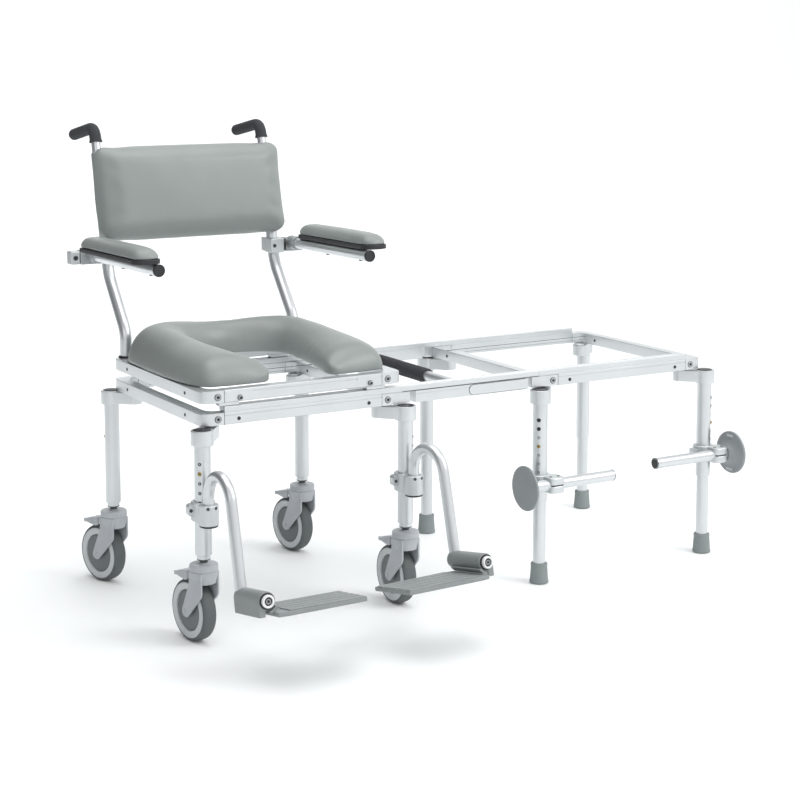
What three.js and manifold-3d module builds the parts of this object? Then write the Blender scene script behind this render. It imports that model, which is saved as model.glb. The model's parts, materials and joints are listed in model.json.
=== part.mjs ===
// A bath transfer bench: a wheeled commode chair docked through a bridge to a base that stands in the tub.
// The seat slides along two tracks, from the chair over the bridge to the tub base.
// Millimetres, +Z up. X runs along the bench from chair to tub, the person on the seat faces -Y.
import * as THREE from 'three';
import { mergeVertices } from 'three/addons/utils/BufferGeometryUtils.js';
import Module from 'manifold-3d';

const wasm = await Module();
wasm.setup();

// ---- driving dimensions -------------------------------------------------------------------------
const GAP = 0.3; // clearance between pieces that touch

// The row's origin, in the layout's own coordinates: the layout starts at the chair base's front left corner.
const ORIGIN = { x: 629, y: 212.6 };

const BASE_WIDTH = 457; // each base frame along X
const BASE_DEPTH = 466; // along Y
const TUB_X = 803; // left edge of the tub base
const BRIDGE_MID_X = (BASE_WIDTH + TUB_X) / 2;

const RAIL = 25; // square rail section
const RAIL_Z = 434; // underside of the base rails
const RAIL_TOP = RAIL_Z + RAIL;
const TRACK_TOP = 471;
const CORNER_RADIUS = 36;
const CASTING_LENGTH = 50; // corner castings, along the front and rear rails
const TONGUE_LENGTH = 19; // docking tongue under the bridge's track
const BRIDGE_INSET = 31; // from the track's end to the bridge's lower rail

const SEAT_Z = 478.5; // underside of the seat frame
const SEAT_TOP = SEAT_Z + RAIL;

const LEG_TOP = 431;
const COLLAR_Z = 401;
const COLLAR_RADIUS = 23;
const POST_RADIUS = 16.5; // outer leg tube
const POST_BOTTOM = 182;
const POST_BORE = 14.4;
const INNER_RADIUS = 13.9; // inner leg tube
const TIP_HEIGHT = 45;

const WHEEL_RADIUS = 62.5;
const WHEEL_WIDTH = 32;
const WHEEL_TRAIL = 38;
const SWIVEL = { front_left: 8, front_right: 0, rear_left: 17, rear_right: 10 }; // degrees, at rest
const HEAD_TOP = 164; // caster head
const HEAD_Z = 148;

const TUBE_RADIUS = 12.5; // arm tubes, bridge bar, bath rods
const HANGER_RADIUS = 11.3; // footrest hangers
const CANE_RADIUS = 13;
const CANE_X = { left: 26, right: 433 };
const CANE_FOOT_Y = 450;

const ARM_AXIS = { y: 545, z: 716 }; // flip-up pivot
const ARM_OUT = 40; // arm tube, outwards from the cane
const ARM_FRONT_Y = 166;
const ARM_LIFT = 5; // arm tube above the pivot
const ARM_RISE = 5;

const SOCKET = { y: -39, z0: 251, z1: 292 }; // footrest socket, in front of the leg
const BEND_RADIUS = 52.7;
const HANGER_REACH = 145;
const HANGER_SLOPE = THREE.MathUtils.degToRad(14);
const HINGE_TILT = THREE.MathUtils.degToRad(10);
const HANGER_TOE_OUT = { left: 0, right: 4.5 }; // degrees

const ROD_Y = -34; // bath clamp rod, in front of the leg axis
const DISC_RADIUS = 49;

// Corners of each base: sx and sy point from the frame's middle to the corner.
const CORNERS = [
  { tag: 'front_left', sx: -1, sy: -1 },
  { tag: 'front_right', sx: 1, sy: -1 },
  { tag: 'rear_left', sx: -1, sy: 1 },
  { tag: 'rear_right', sx: 1, sy: 1 },
];
// Leg axis, outwards from the frame's corner, on the left and on the right of each base.
const LEG_OUT = { left: { x: 1, y: 5 }, right: { x: 5, y: 2 } };

// ---- materials ----------------------------------------------------------------------------------
const finish = (color, roughness, metalness) => new THREE.MeshStandardMaterial({ color, roughness, metalness });
const aluminium = () => finish(0xd4d8da, 0.38, 0.85);
const greyPlastic = () => finish(0x8d9192, 0.55, 0);
const forkPlastic = () => finish(0xb4b7ba, 0.45, 0.1);
const rubber = () => finish(0x6b6f70, 0.8, 0);
const blackFoam = () => finish(0x3a3b3d, 0.85, 0);
const vinyl = () => finish(0x9ba3a1, 0.5, 0);

// ---- helpers ------------------------------------------------------------------------------------
const bench = new THREE.Group();
bench.position.set(-ORIGIN.x, -ORIGIN.y, 0);

function toManifold(geometry) {
  const bare = geometry.clone();
  bare.deleteAttribute('normal');
  bare.deleteAttribute('uv');
  const merged = mergeVertices(bare, 1e-4);
  return new wasm.Manifold(new wasm.Mesh({
    numProp: 3,
    vertProperties: new Float32Array(merged.attributes.position.array),
    triVerts: new Uint32Array(merged.index.array),
  }));
}

function toGeometry(manifold) {
  const mesh = manifold.getMesh();
  const geometry = new THREE.BufferGeometry();
  geometry.setAttribute('position', new THREE.BufferAttribute(mesh.vertProperties, 3));
  geometry.setIndex(new THREE.BufferAttribute(mesh.triVerts, 1));
  geometry.computeVertexNormals();
  return geometry;
}

const join = (...pieces) => pieces.map(toManifold).reduce((sum, piece) => sum.add(piece));
const drill = (solid, ...tools) => tools.map(toManifold).reduce((rest, tool) => rest.subtract(tool), solid);

function add(name, shape, material, parent = bench) {
  const geometry = shape.isBufferGeometry ? shape : toGeometry(shape);
  const mesh = new THREE.Mesh(geometry, material);
  mesh.name = name;
  parent.add(mesh);
  return mesh;
}

function box([x0, x1], [y0, y1], [z0, z1]) {
  const geometry = new THREE.BoxGeometry(x1 - x0, y1 - y0, z1 - z0);
  return geometry.translate((x0 + x1) / 2, (y0 + y1) / 2, (z0 + z1) / 2);
}

// Cylinders by axis. sides is the number of facets.
function rodZ(radius, z0, z1, x = 0, y = 0, sides = 20) {
  const geometry = new THREE.CylinderGeometry(radius, radius, z1 - z0, sides);
  return geometry.rotateX(Math.PI / 2).translate(x, y, (z0 + z1) / 2);
}

function rodX(radius, x0, x1, y, z, sides = 16) {
  const geometry = new THREE.CylinderGeometry(radius, radius, x1 - x0, sides);
  return geometry.rotateZ(Math.PI / 2).translate((x0 + x1) / 2, y, z);
}

function rodY(radius, y0, y1, x, z, sides = 16) {
  const geometry = new THREE.CylinderGeometry(radius, radius, y1 - y0, sides);
  return geometry.translate(x, (y0 + y1) / 2, z);
}

// A turned piece about Z. points are [radius, z], closed on themselves or starting and ending on the axis.
function turned(points, sides = 20) {
  const geometry = new THREE.LatheGeometry(points.map(([r, z]) => new THREE.Vector2(r, z)), sides);
  return geometry.rotateX(Math.PI / 2);
}

// A flat outline in XY, raised from z0 to z1.
function plate(shape, z0, z1, curveSegments = 4) {
  const geometry = new THREE.ExtrudeGeometry(shape, { depth: z1 - z0, bevelEnabled: false, curveSegments });
  return geometry.translate(0, 0, z0);
}

// Mirrors a geometry in the YZ plane and keeps its faces pointing out.
function mirrorX(geometry) {
  const { array } = geometry.attributes.position;
  for (let i = 0; i < array.length; i += 9) {
    for (let k = 0; k < 3; k += 1) {
      const first = array[i + k];
      array[i + k] = array[i + 6 + k];
      array[i + 6 + k] = first;
    }
  }
  return geometry.scale(-1, 1, 1);
}

// A flat outline in YZ, drawn as (y, z), standing from x0 to x1.
function plateYZ(shape, x0, x1, curveSegments = 4) {
  return plate(shape, x0, x1, curveSegments).applyMatrix4(new THREE.Matrix4().makeBasis(
    new THREE.Vector3(0, 1, 0), new THREE.Vector3(0, 0, 1), new THREE.Vector3(1, 0, 0)));
}

// A flat outline in XZ, drawn as (x, z), running along -Y from y = 0 to y = -length.
function plateXZ(shape, length, curveSegments = 8) {
  return plate(shape, 0, length, curveSegments).applyMatrix4(new THREE.Matrix4().makeBasis(
    new THREE.Vector3(1, 0, 0), new THREE.Vector3(0, 0, 1), new THREE.Vector3(0, -1, 0)));
}

function polygon(points) {
  return new THREE.Shape(points.map(([x, y]) => new THREE.Vector2(x, y)));
}

function roundedRectangle(x0, y0, x1, y1, radius) {
  const shape = new THREE.Shape();
  shape.absarc(x1 - radius, y0 + radius, radius, -Math.PI / 2, 0);
  shape.absarc(x1 - radius, y1 - radius, radius, 0, Math.PI / 2);
  shape.absarc(x0 + radius, y1 - radius, radius, Math.PI / 2, Math.PI);
  shape.absarc(x0 + radius, y0 + radius, radius, Math.PI, 1.5 * Math.PI);
  shape.closePath();
  return shape;
}

// Two round bosses and the web between them: one at the origin, one at distance along +X.
function twoBossOutline(radius0, radius1, distance) {
  const tangent = Math.acos((radius0 - radius1) / distance);
  const shape = new THREE.Shape();
  shape.absarc(0, 0, radius0, tangent, 2 * Math.PI - tangent);
  shape.absarc(distance, 0, radius1, -tangent, tangent);
  shape.closePath();
  return shape;
}

// A round tube along a path made of straight runs with rounded corners. corners are [y, z, bend radius].
function bentTube(corners, radius, x, steps, sides = 12) {
  const path = new THREE.CurvePath();
  const at = ([y, z]) => new THREE.Vector3(x, y, z);
  let from = at(corners[0]);
  for (let i = 1; i < corners.length; i += 1) {
    const corner = at(corners[i]);
    const bend = corners[i][2];
    if (!bend) {
      path.add(new THREE.LineCurve3(from, corner));
      continue;
    }
    const into = corner.clone().sub(at(corners[i - 1])).normalize();
    const out = at(corners[i + 1]).sub(corner).normalize();
    const reach = bend * Math.tan(into.angleTo(out) / 2);
    const start = corner.clone().addScaledVector(into, -reach);
    const end = corner.clone().addScaledVector(out, reach);
    path.add(new THREE.LineCurve3(from, start));
    path.add(new THREE.QuadraticBezierCurve3(start, corner, end));
    from = end;
  }
  return tubeAlong(path, radius, steps, sides);
}

function tubeAlong(path, radius, steps, sides = 12) {
  const ring = new THREE.Shape();
  ring.absarc(0, 0, radius, 0, 2 * Math.PI);
  const options = { steps, curveSegments: sides / 2, extrudePath: path, bevelEnabled: false };
  return new THREE.ExtrudeGeometry(ring, options);
}

const sideName = (sx) => (sx < 0 ? 'left' : 'right');
const frameCorner = (baseX, { sx, sy }) => ({
  x: baseX + (sx < 0 ? 0 : BASE_WIDTH),
  y: sy < 0 ? 0 : BASE_DEPTH,
});
function legAxis(baseX, corner) {
  const out = LEG_OUT[sideName(corner.sx)];
  const at = frameCorner(baseX, corner);
  return { x: at.x + corner.sx * out.x, y: at.y + corner.sy * out.y };
}

// ---- base frames --------------------------------------------------------------------------------
// One end of a base: the cross rail with its two rounded corner castings.
function endOutline(baseX, sx) {
  const outer = frameCorner(baseX, { sx, sy: -1 }).x;
  const x = (inwards) => outer - sx * inwards;
  const inside = RAIL + 10;
  const shape = new THREE.Shape();
  const depth = BASE_DEPTH;
  const r = CORNER_RADIUS;
  shape.moveTo(x(CASTING_LENGTH), 0);
  shape.lineTo(x(r), 0);
  shape.quadraticCurveTo(x(r * 0.25), r * 0.02, x(r * 0.11), r * 0.26);
  shape.quadraticCurveTo(x(0), r * 0.5, x(0), r);
  shape.lineTo(x(0), depth - r);
  shape.quadraticCurveTo(x(0), depth - r * 0.5, x(r * 0.11), depth - r * 0.26);
  shape.quadraticCurveTo(x(r * 0.25), depth - r * 0.02, x(r), depth);
  shape.lineTo(x(CASTING_LENGTH), depth);
  shape.lineTo(x(CASTING_LENGTH), depth - RAIL);
  shape.quadraticCurveTo(x(RAIL), depth - RAIL, x(RAIL), depth - inside - 15);
  shape.lineTo(x(RAIL), inside + 15);
  shape.quadraticCurveTo(x(RAIL), RAIL, x(CASTING_LENGTH), RAIL);
  shape.closePath();
  return shape;
}

function baseEnd(name, baseX, sx, hasTongues) {
  const pieces = [plate(endOutline(baseX, sx), RAIL_Z, RAIL_TOP)];
  if (hasTongues) {
    const edge = frameCorner(baseX, { sx, sy: -1 }).x;
    const tip = edge + sx * TONGUE_LENGTH;
    const root = edge - sx * CORNER_RADIUS;
    const span = [Math.min(root, tip), Math.max(root, tip)];
    pieces.push(box(span, [2, RAIL - 5], [RAIL_Z + 1, RAIL_TOP - GAP]));
    pieces.push(box(span, [BASE_DEPTH - RAIL + 5, BASE_DEPTH - 2], [RAIL_Z + 1, RAIL_TOP - GAP]));
  }
  add(name, join(...pieces), aluminium());
}

// A front or rear rail with the slide track on top. The track also runs over the casting on the bridge's side.
function baseRail(name, baseX, y, bridgeSide) {
  const x0 = baseX + CASTING_LENGTH + GAP;
  const x1 = baseX + BASE_WIDTH - CASTING_LENGTH - GAP;
  const trackX = bridgeSide > 0 ? [x0, baseX + BASE_WIDTH] : [baseX, x1];
  const rail = box([x0, x1], [y, y + RAIL], [RAIL_Z, RAIL_TOP + GAP]);
  const track = box(trackX, [y, y + RAIL], [RAIL_TOP + GAP, TRACK_TOP]);
  add(name, join(rail, track), aluminium());
}

function base(prefix, baseX, bridgeSide) {
  baseEnd(`${prefix}_end_left`, baseX, -1, bridgeSide < 0);
  baseEnd(`${prefix}_end_right`, baseX, 1, bridgeSide > 0);
  baseRail(`${prefix}_rail_front`, baseX, 0, bridgeSide);
  baseRail(`${prefix}_rail_rear`, baseX, BASE_DEPTH - RAIL, bridgeSide);
}

// The bridge: two short rails with track, joined by one cross bar that carries a foam grip.
function bridge() {
  const track = [BASE_WIDTH + GAP, TUB_X - GAP];
  const lower = [BASE_WIDTH + BRIDGE_INSET, TUB_X - BRIDGE_INSET];
  const pieces = [];
  for (const y of [0, BASE_DEPTH - RAIL]) {
    pieces.push(box(track, [y, y + RAIL], [RAIL_TOP + GAP, TRACK_TOP]));
    pieces.push(box(lower, [y, y + RAIL], [RAIL_Z, RAIL_TOP + GAP]));
  }
  const barZ = (RAIL_Z + RAIL_TOP) / 2;
  pieces.push(rodY(TUBE_RADIUS - 0.5, RAIL - 5, BASE_DEPTH - RAIL + 5, BRIDGE_MID_X, barZ, 20));
  add('bridge_frame', join(...pieces), aluminium());
  const foam = turned([[12.3, -108], [16.5, -108], [16.5, 108], [12.3, 108], [12.3, -108]], 20);
  foam.rotateX(Math.PI / 2).translate(BRIDGE_MID_X, 293, barZ);
  add('bridge_grip', foam, blackFoam());
}

// ---- legs ---------------------------------------------------------------------------------------
// Two-boss bracket under the corner casting, collar and outer tube, bored from below for the inner tube.
function legPost(name, baseX, corner) {
  const leg = legAxis(baseX, corner);
  const at = frameCorner(baseX, corner);
  const boss = { x: at.x - corner.sx * CORNER_RADIUS, y: at.y - corner.sy * CORNER_RADIUS };
  const length = Math.hypot(boss.x - leg.x, boss.y - leg.y);
  const angle = Math.atan2(boss.y - leg.y, boss.x - leg.x);
  const bracket = plate(twoBossOutline(COLLAR_RADIUS - 3, 17, length), COLLAR_Z + 3, LEG_TOP - 1, 4);
  bracket.rotateZ(angle).translate(leg.x, leg.y, 0);
  const solid = join(
    bracket,
    rodZ(12, LEG_TOP - 2, RAIL_Z - GAP, boss.x, boss.y, 12),
    rodZ(COLLAR_RADIUS, COLLAR_Z, LEG_TOP, leg.x, leg.y),
    rodZ(POST_RADIUS, POST_BOTTOM, LEG_TOP - 5, leg.x, leg.y),
  );
  add(name, drill(solid, rodZ(POST_BORE, POST_BOTTOM - 1, LEG_TOP - 8, leg.x, leg.y)), aluminium());
}

function innerTube(name, leg, z0, z1) {
  add(name, rodZ(INNER_RADIUS, z0, z1, leg.x, leg.y), aluminium());
}

function rubberTip(name, leg) {
  const socket = INNER_RADIUS + GAP + 0.2;
  const tip = turned([[0, 0], [20, 0], [21, 3], [18.2, TIP_HEIGHT - 2], [17, TIP_HEIGHT],
    [socket, TIP_HEIGHT], [socket, 10], [0, 10]], 20);
  add(name, tip.translate(leg.x, leg.y, 0), rubber());
}

// ---- casters ------------------------------------------------------------------------------------
function forkCheek(side) {
  const inner = WHEEL_WIDTH / 2 + 1.5;
  const outline = polygon([[-22, HEAD_Z + 1], [-23, 104], [28, 51], [44, 52], [50, 64], [23, 124],
    [24, HEAD_Z + 1]]);
  const span = side < 0 ? [-inner - 4.5, -inner] : [inner, inner + 4.5];
  return plateYZ(outline, ...span);
}

function casterFork(name, group) {
  const crown = new THREE.Shape();
  crown.absarc(0, 0, 24, Math.PI * 0.76, Math.PI * 2.24);
  crown.closePath();
  const solid = join(
    rodZ(28.5, HEAD_Z, HEAD_TOP),
    rodZ(6.5, HEAD_TOP - 1, HEAD_TOP + 5.5, 0, 0, 12),
    plate(crown, 128, HEAD_Z + 1, 5),
    forkCheek(-1),
    forkCheek(1),
    rodX(5, -WHEEL_WIDTH / 2 - 5, WHEEL_WIDTH / 2 + 5, WHEEL_TRAIL, WHEEL_RADIUS, 16),
  );
  add(name, solid, forkPlastic(), group);
}

function casterWheel(name, group) {
  const half = WHEEL_WIDTH / 2;
  const bore = 5.4;
  const wheel = turned([[bore, -half], [55, -half], [61, -half + 4], [WHEEL_RADIUS, -5], [WHEEL_RADIUS, 5],
    [61, half - 4], [55, half], [bore, half], [bore, -half]], 28);
  wheel.rotateY(Math.PI / 2).translate(0, WHEEL_TRAIL, WHEEL_RADIUS);
  add(name, wheel, rubber(), group);
}

// The brake pedal: a knuckle between the fork's cheeks and a tongue that slopes down behind the head.
function casterPedal(name, group) {
  const tongue = roundedRectangle(-20, 9, 20, 58, 11);
  const slope = new THREE.Matrix4().makeRotationX(-THREE.MathUtils.degToRad(12)).setPosition(0, 27, 142);
  const solid = join(
    rodX(5, -16.8, 16.8, 31, 137, 12),
    plateYZ(polygon([[27, 136], [33, 133.5], [45, 133], [45, 139], [30, 142]]), -12, 12),
    plate(tongue, -2.5, 2.5, 4).applyMatrix4(slope),
  );
  add(name, solid, forkPlastic(), group);
}

function caster(tag, leg) {
  const group = new THREE.Group();
  group.position.set(leg.x, leg.y, 0);
  group.rotation.z = THREE.MathUtils.degToRad(SWIVEL[tag]);
  bench.add(group);
  casterFork(`caster_fork_${tag}`, group);
  casterWheel(`caster_wheel_${tag}`, group);
  casterPedal(`caster_pedal_${tag}`, group);
}

function chairLegs() {
  for (const corner of CORNERS) {
    const leg = legAxis(0, corner);
    legPost(`chair_leg_post_${corner.tag}`, 0, corner);
    innerTube(`chair_leg_tube_${corner.tag}`, leg, HEAD_TOP + 6, 320);
    caster(corner.tag, leg);
  }
}

function tubLegs() {
  for (const corner of CORNERS) {
    const leg = legAxis(TUB_X, corner);
    legPost(`tub_leg_post_${corner.tag}`, TUB_X, corner);
    innerTube(`tub_leg_tube_${corner.tag}`, leg, 10 + GAP, 300);
    rubberTip(`tub_leg_tip_${corner.tag}`, leg);
  }
}

// ---- seat ---------------------------------------------------------------------------------------
function seatFrame() {
  const outline = roundedRectangle(0, 0, BASE_WIDTH, BASE_DEPTH, CORNER_RADIUS);
  outline.holes.push(roundedRectangle(RAIL, RAIL, BASE_WIDTH - RAIL, BASE_DEPTH - RAIL, 12));
  const pieces = [plate(outline, SEAT_Z, SEAT_TOP)];
  for (const x of [62, BASE_WIDTH - 62]) {
    for (const y of [4, BASE_DEPTH - RAIL + 4]) {
      pieces.push(box([x - 22, x + 22], [y, y + RAIL - 8], [TRACK_TOP + GAP, SEAT_Z + 1]));
    }
  }
  add('seat_frame', join(...pieces), aluminium());
}

// Horseshoe cushion with the commode opening towards the front.
function seatCushion() {
  const mid = BASE_WIDTH / 2;
  const front = 26;
  const shape = new THREE.Shape();
  shape.moveTo(mid - 84, front);
  shape.lineTo(40, front + 4);
  shape.quadraticCurveTo(2, front + 12, 2, 90);
  shape.lineTo(2, BASE_DEPTH - 95);
  shape.quadraticCurveTo(8, BASE_DEPTH - 24, 90, BASE_DEPTH - 20);
  shape.lineTo(BASE_WIDTH - 90, BASE_DEPTH - 20);
  shape.quadraticCurveTo(BASE_WIDTH - 8, BASE_DEPTH - 24, BASE_WIDTH - 2, BASE_DEPTH - 95);
  shape.lineTo(BASE_WIDTH - 2, 90);
  shape.quadraticCurveTo(BASE_WIDTH - 2, front + 12, BASE_WIDTH - 40, front + 4);
  shape.lineTo(mid + 100, front);
  shape.quadraticCurveTo(mid + 72, front, mid + 76, front + 30);
  shape.bezierCurveTo(mid + 100, 160, mid + 112, 240, mid + 110, 310);
  shape.bezierCurveTo(mid + 106, 410, mid - 106, 410, mid - 110, 310);
  shape.bezierCurveTo(mid - 112, 240, mid - 92, 160, mid - 62, front + 30);
  shape.quadraticCurveTo(mid - 58, front, mid - 84, front);
  const bevel = 14;
  const cushion = new THREE.ExtrudeGeometry(shape, {
    depth: 72 - bevel, bevelEnabled: true, bevelThickness: bevel, bevelSize: bevel, bevelOffset: -bevel,
    bevelSegments: 2, curveSegments: 6,
  });
  const solid = toManifold(cushion.translate(0, 0, SEAT_TOP + GAP));
  const flat = drill(solid, box([-50, BASE_WIDTH + 50], [-50, BASE_DEPTH + 50], [400, SEAT_TOP + GAP]));
  add('seat_cushion', flat, vinyl());
}

// ---- backrest -----------------------------------------------------------------------------------
// The canes rise from the rear rail, lean back, then carry the cushion and end in push handles.
const CANE_LEAN = THREE.MathUtils.degToRad(12.5);
const CANE_KNEE = { y: 543, z: 674 };
const caneY = (z) => CANE_KNEE.y + (z - CANE_KNEE.z) * Math.tan(CANE_LEAN);

function cane(x) {
  const top = 995;
  const shoulder = 935;
  const grip = [749, 971];
  return [
    bentTube([[CANE_FOOT_Y, SEAT_TOP + GAP], [CANE_FOOT_Y, 558, 60], [CANE_KNEE.y, CANE_KNEE.z, 90],
      [caneY(shoulder), shoulder]], CANE_RADIUS, x, 24),
    bentTube([[caneY(shoulder - 20), shoulder - 20], [caneY(top), top, 30], grip], 10, x, 12),
    bentTube([[caneY(top - 32), top - 32], [caneY(top), top, 30], grip], 13, x, 10),
  ];
}

function armBracket(x) {
  return box([x - 17, x + 17], [ARM_AXIS.y - 19, ARM_AXIS.y + 38], [ARM_AXIS.z - 17, ARM_AXIS.z + 17]);
}

function backrest() {
  const pieces = [];
  for (const x of [CANE_X.left, CANE_X.right]) {
    pieces.push(...cane(x), armBracket(x));
  }
  for (const z of [800, 910]) {
    pieces.push(rodX(9, CANE_X.left, CANE_X.right, caneY(z), z, 12));
  }
  add('back_frame', join(...pieces), aluminium());
}

function backCushion() {
  const thickness = 54;
  const bevel = 16;
  const shape = roundedRectangle(-228 + bevel, -106 + bevel, 228 - bevel, 106 - bevel, 18);
  const cushion = new THREE.ExtrudeGeometry(shape, {
    depth: thickness - 2 * bevel, bevelEnabled: true, bevelThickness: bevel, bevelSize: bevel, bevelSegments: 3,
    curveSegments: 2,
  });
  cushion.translate(0, 0, CANE_RADIUS + 1 + bevel);
  const mesh = add('back_cushion', cushion, vinyl());
  mesh.rotation.x = Math.PI / 2 - CANE_LEAN;
  mesh.position.set(228.5, caneY(844), 844);
}

// ---- armrests -----------------------------------------------------------------------------------
function armrest(sx) {
  const side = sideName(sx);
  const caneX = CANE_X[side];
  const armX = caneX + sx * ARM_OUT;
  const inner = caneX + sx * 18;
  const outer = caneX + sx * 91;
  const barrelX = [Math.min(inner, outer), Math.max(inner, outer)];
  const group = new THREE.Group();
  group.position.set(0, ARM_AXIS.y, ARM_AXIS.z);
  const run = ARM_AXIS.y - ARM_FRONT_Y;
  const tilt = Math.atan2(ARM_RISE, run);
  group.rotation.x = -tilt;
  bench.add(group);
  const tube = rodY(TUBE_RADIUS - 0.3, -run, -8, armX, ARM_LIFT, 20);
  add(`arm_${side}`, join(rodX(16.5, ...barrelX, 0, 0, 20), tube), aluminium(), group);
  const padMid = armX + sx * 20;
  const pad = roundedRectangle(padMid - 31, -run - 2, padMid + 31, -run + 325, 22);
  const padZ = ARM_LIFT + TUBE_RADIUS;
  add(`arm_pad_${side}`, plate(pad, padZ + 0.5, padZ + 34, 5), vinyl(), group);
}

// ---- footrests ----------------------------------------------------------------------------------
// Everything here is drawn for the left leg around the leg's or the socket's axis. sx mirrors it for the right.
function footrestClamp(name, group) {
  const ringZ = [SOCKET.z0 + 1, SOCKET.z1 - 2];
  const solid = join(
    rodZ(24, ...ringZ),
    rodZ(19.5, SOCKET.z0, SOCKET.z1, 0, SOCKET.y),
    box([-12, 12], [-30, -14], ringZ),
    box([-34, -18], [-11, 11], [SOCKET.z0 + 4, SOCKET.z1 - 5]),
  );
  const bores = [
    rodZ(POST_RADIUS + 0.5, SOCKET.z0 - 1, SOCKET.z1 + 1),
    rodZ(HANGER_RADIUS + 0.5, SOCKET.z0 - 1, SOCKET.z1 + 1, 0, SOCKET.y),
  ];
  add(name, drill(solid, ...bores), aluminium(), group);
}

const HINGE_Z = 147.6; // hinge axis at the hanger tube's foot
const HINGE_IN = 2; // hinge axis, inwards from the hanger
const BLOCK = { back: -4, length: 108, radius: 17.5, drop: 29 };

// Frame of the hinge: origin on the hinge axis below the tube's foot, -Y along the tilted axis.
function hingeFrame(group, sx) {
  const frame = new THREE.Group();
  frame.position.set(-sx * HINGE_IN, -HANGER_REACH, HINGE_Z);
  frame.rotation.x = -HINGE_TILT;
  group.add(frame);
  return frame;
}

function hinged(geometry, sx) {
  return geometry.rotateX(-HINGE_TILT).translate(-sx * HINGE_IN, -HANGER_REACH, HINGE_Z);
}

function hanger(name, group, sx) {
  const path = new THREE.CurvePath();
  const bendZ = 304.4;
  const v = (reach, z) => new THREE.Vector3(0, -reach, z);
  path.add(new THREE.LineCurve3(v(0, SOCKET.z0 + 1), v(0, bendZ)));
  const turn = Math.PI - HANGER_SLOPE;
  const arcSteps = 4;
  const onArc = (t) => v(BEND_RADIUS * (1 - Math.cos(t)), bendZ + BEND_RADIUS * Math.sin(t));
  for (let i = 0; i < arcSteps; i += 1) {
    const t0 = (turn * i) / arcSteps;
    const t1 = (turn * (i + 1)) / arcSteps;
    const mid = (t0 + t1) / 2;
    const reach = BEND_RADIUS / Math.cos((t1 - t0) / 2);
    const corner = v(BEND_RADIUS - reach * Math.cos(mid), bendZ + reach * Math.sin(mid));
    path.add(new THREE.QuadraticBezierCurve3(onArc(t0), corner, onArc(t1)));
  }
  path.add(new THREE.LineCurve3(onArc(turn), v(HANGER_REACH, HINGE_Z)));
  const block = new THREE.Shape();
  const left = sx * BLOCK.radius;
  block.moveTo(left, -BLOCK.drop);
  block.lineTo(sx * 4, -BLOCK.drop);
  block.lineTo(sx * 4, -17);
  const points = 10;
  for (let i = 0; i <= points; i += 1) {
    const angle = THREE.MathUtils.degToRad(-76 + (256 * i) / points);
    block.lineTo(-sx * BLOCK.radius * Math.cos(angle), BLOCK.radius * Math.sin(angle));
  }
  block.closePath();
  const body = plateXZ(block, BLOCK.length).translate(0, -BLOCK.back, 0);
  const tube = tubeAlong(path, HANGER_RADIUS, 24);
  add(name, join(tube, hinged(body, sx)), aluminium(), group);
}

// The plate hangs from a curved root that rides round the hinge block.
function footplate(name, group, sx) {
  const inner = BLOCK.radius + 0.6;
  const outer = 23;
  const root = new THREE.Shape();
  const steps = 5;
  const onRoot = (radius, i) => {
    const angle = THREE.MathUtils.degToRad(-82 + (50 * i) / steps);
    return [-sx * radius * Math.cos(angle), radius * Math.sin(angle)];
  };
  root.moveTo(...onRoot(inner, 0));
  for (let i = 1; i <= steps; i += 1) root.lineTo(...onRoot(inner, i));
  for (let i = steps; i >= 0; i -= 1) root.lineTo(...onRoot(outer, i));
  root.closePath();
  const outline = polygon([[11, -8], [11, -126], [30, -130], [199, -122], [199, -2], [30, -2]]);
  const slab = plate(outline, -29.5, -19.5);
  if (sx > 0) mirrorX(slab);
  const solid = join(plateXZ(root, 96).translate(0, -12, 0), slab);
  add(name, solid, greyPlastic(), hingeFrame(group, sx));
}

function footrest(sx) {
  const side = sideName(sx);
  const leg = legAxis(0, { sx, sy: -1 });
  const onLeg = new THREE.Group();
  onLeg.position.set(leg.x, leg.y, 0);
  onLeg.rotation.z = THREE.MathUtils.degToRad(sx < 0 ? -8 : -4);
  bench.add(onLeg);
  footrestClamp(`footrest_clamp_${side}`, onLeg);
  const socket = new THREE.Vector3(0, SOCKET.y, 0).applyAxisAngle(new THREE.Vector3(0, 0, 1), onLeg.rotation.z);
  const swing = new THREE.Group();
  swing.position.set(leg.x + socket.x, leg.y + socket.y, 0);
  swing.rotation.z = THREE.MathUtils.degToRad(sx * HANGER_TOE_OUT[side]);
  bench.add(swing);
  hanger(`footrest_hanger_${side}`, swing, sx);
  footplate(`footplate_${side}`, swing, sx);
}

// ---- bath clamps --------------------------------------------------------------------------------
// A collar round the tub leg holds a level rod whose disc presses on the bath's wall.
function bathClamp(sx, rodZ0) {
  const side = sideName(sx);
  const leg = legAxis(TUB_X, { sx, sy: -1 });
  const group = new THREE.Group();
  group.position.set(leg.x, leg.y, rodZ0);
  bench.add(group);
  const block = roundedRectangle(-6, ROD_Y - 20, 34, -8, 12);
  const collar = join(rodZ(24, -18, 18), plate(block, -19, 19), box([-34, -18], [-10, 10], [-12, 12]));
  const bores = [rodZ(POST_RADIUS + 0.5, -30, 30), rodX(TUBE_RADIUS + 0.3, -60, 60, ROD_Y, 0)];
  add(`bath_clamp_${side}`, drill(collar, ...bores), aluminium(), group);
  const face = sx < 0 ? -64 : 58;
  const hubLength = 17;
  const disc = turned([[0, 0], [DISC_RADIUS - 2, 0], [DISC_RADIUS, 1.5], [DISC_RADIUS - 1, 5], [26, 9], [17, hubLength],
    [0, hubLength]], 28);
  disc.rotateY(sx < 0 ? Math.PI / 2 : -Math.PI / 2).translate(face, ROD_Y, 0);
  const rodEnd = sx < 0 ? 173 : -169;
  const rodSpan = sx < 0 ? [face + 5, rodEnd] : [rodEnd, face - 5];
  add(`bath_rod_${side}`, join(rodX(TUBE_RADIUS - 0.2, ...rodSpan, ROD_Y, 0), disc), aluminium(), group);
}

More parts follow.
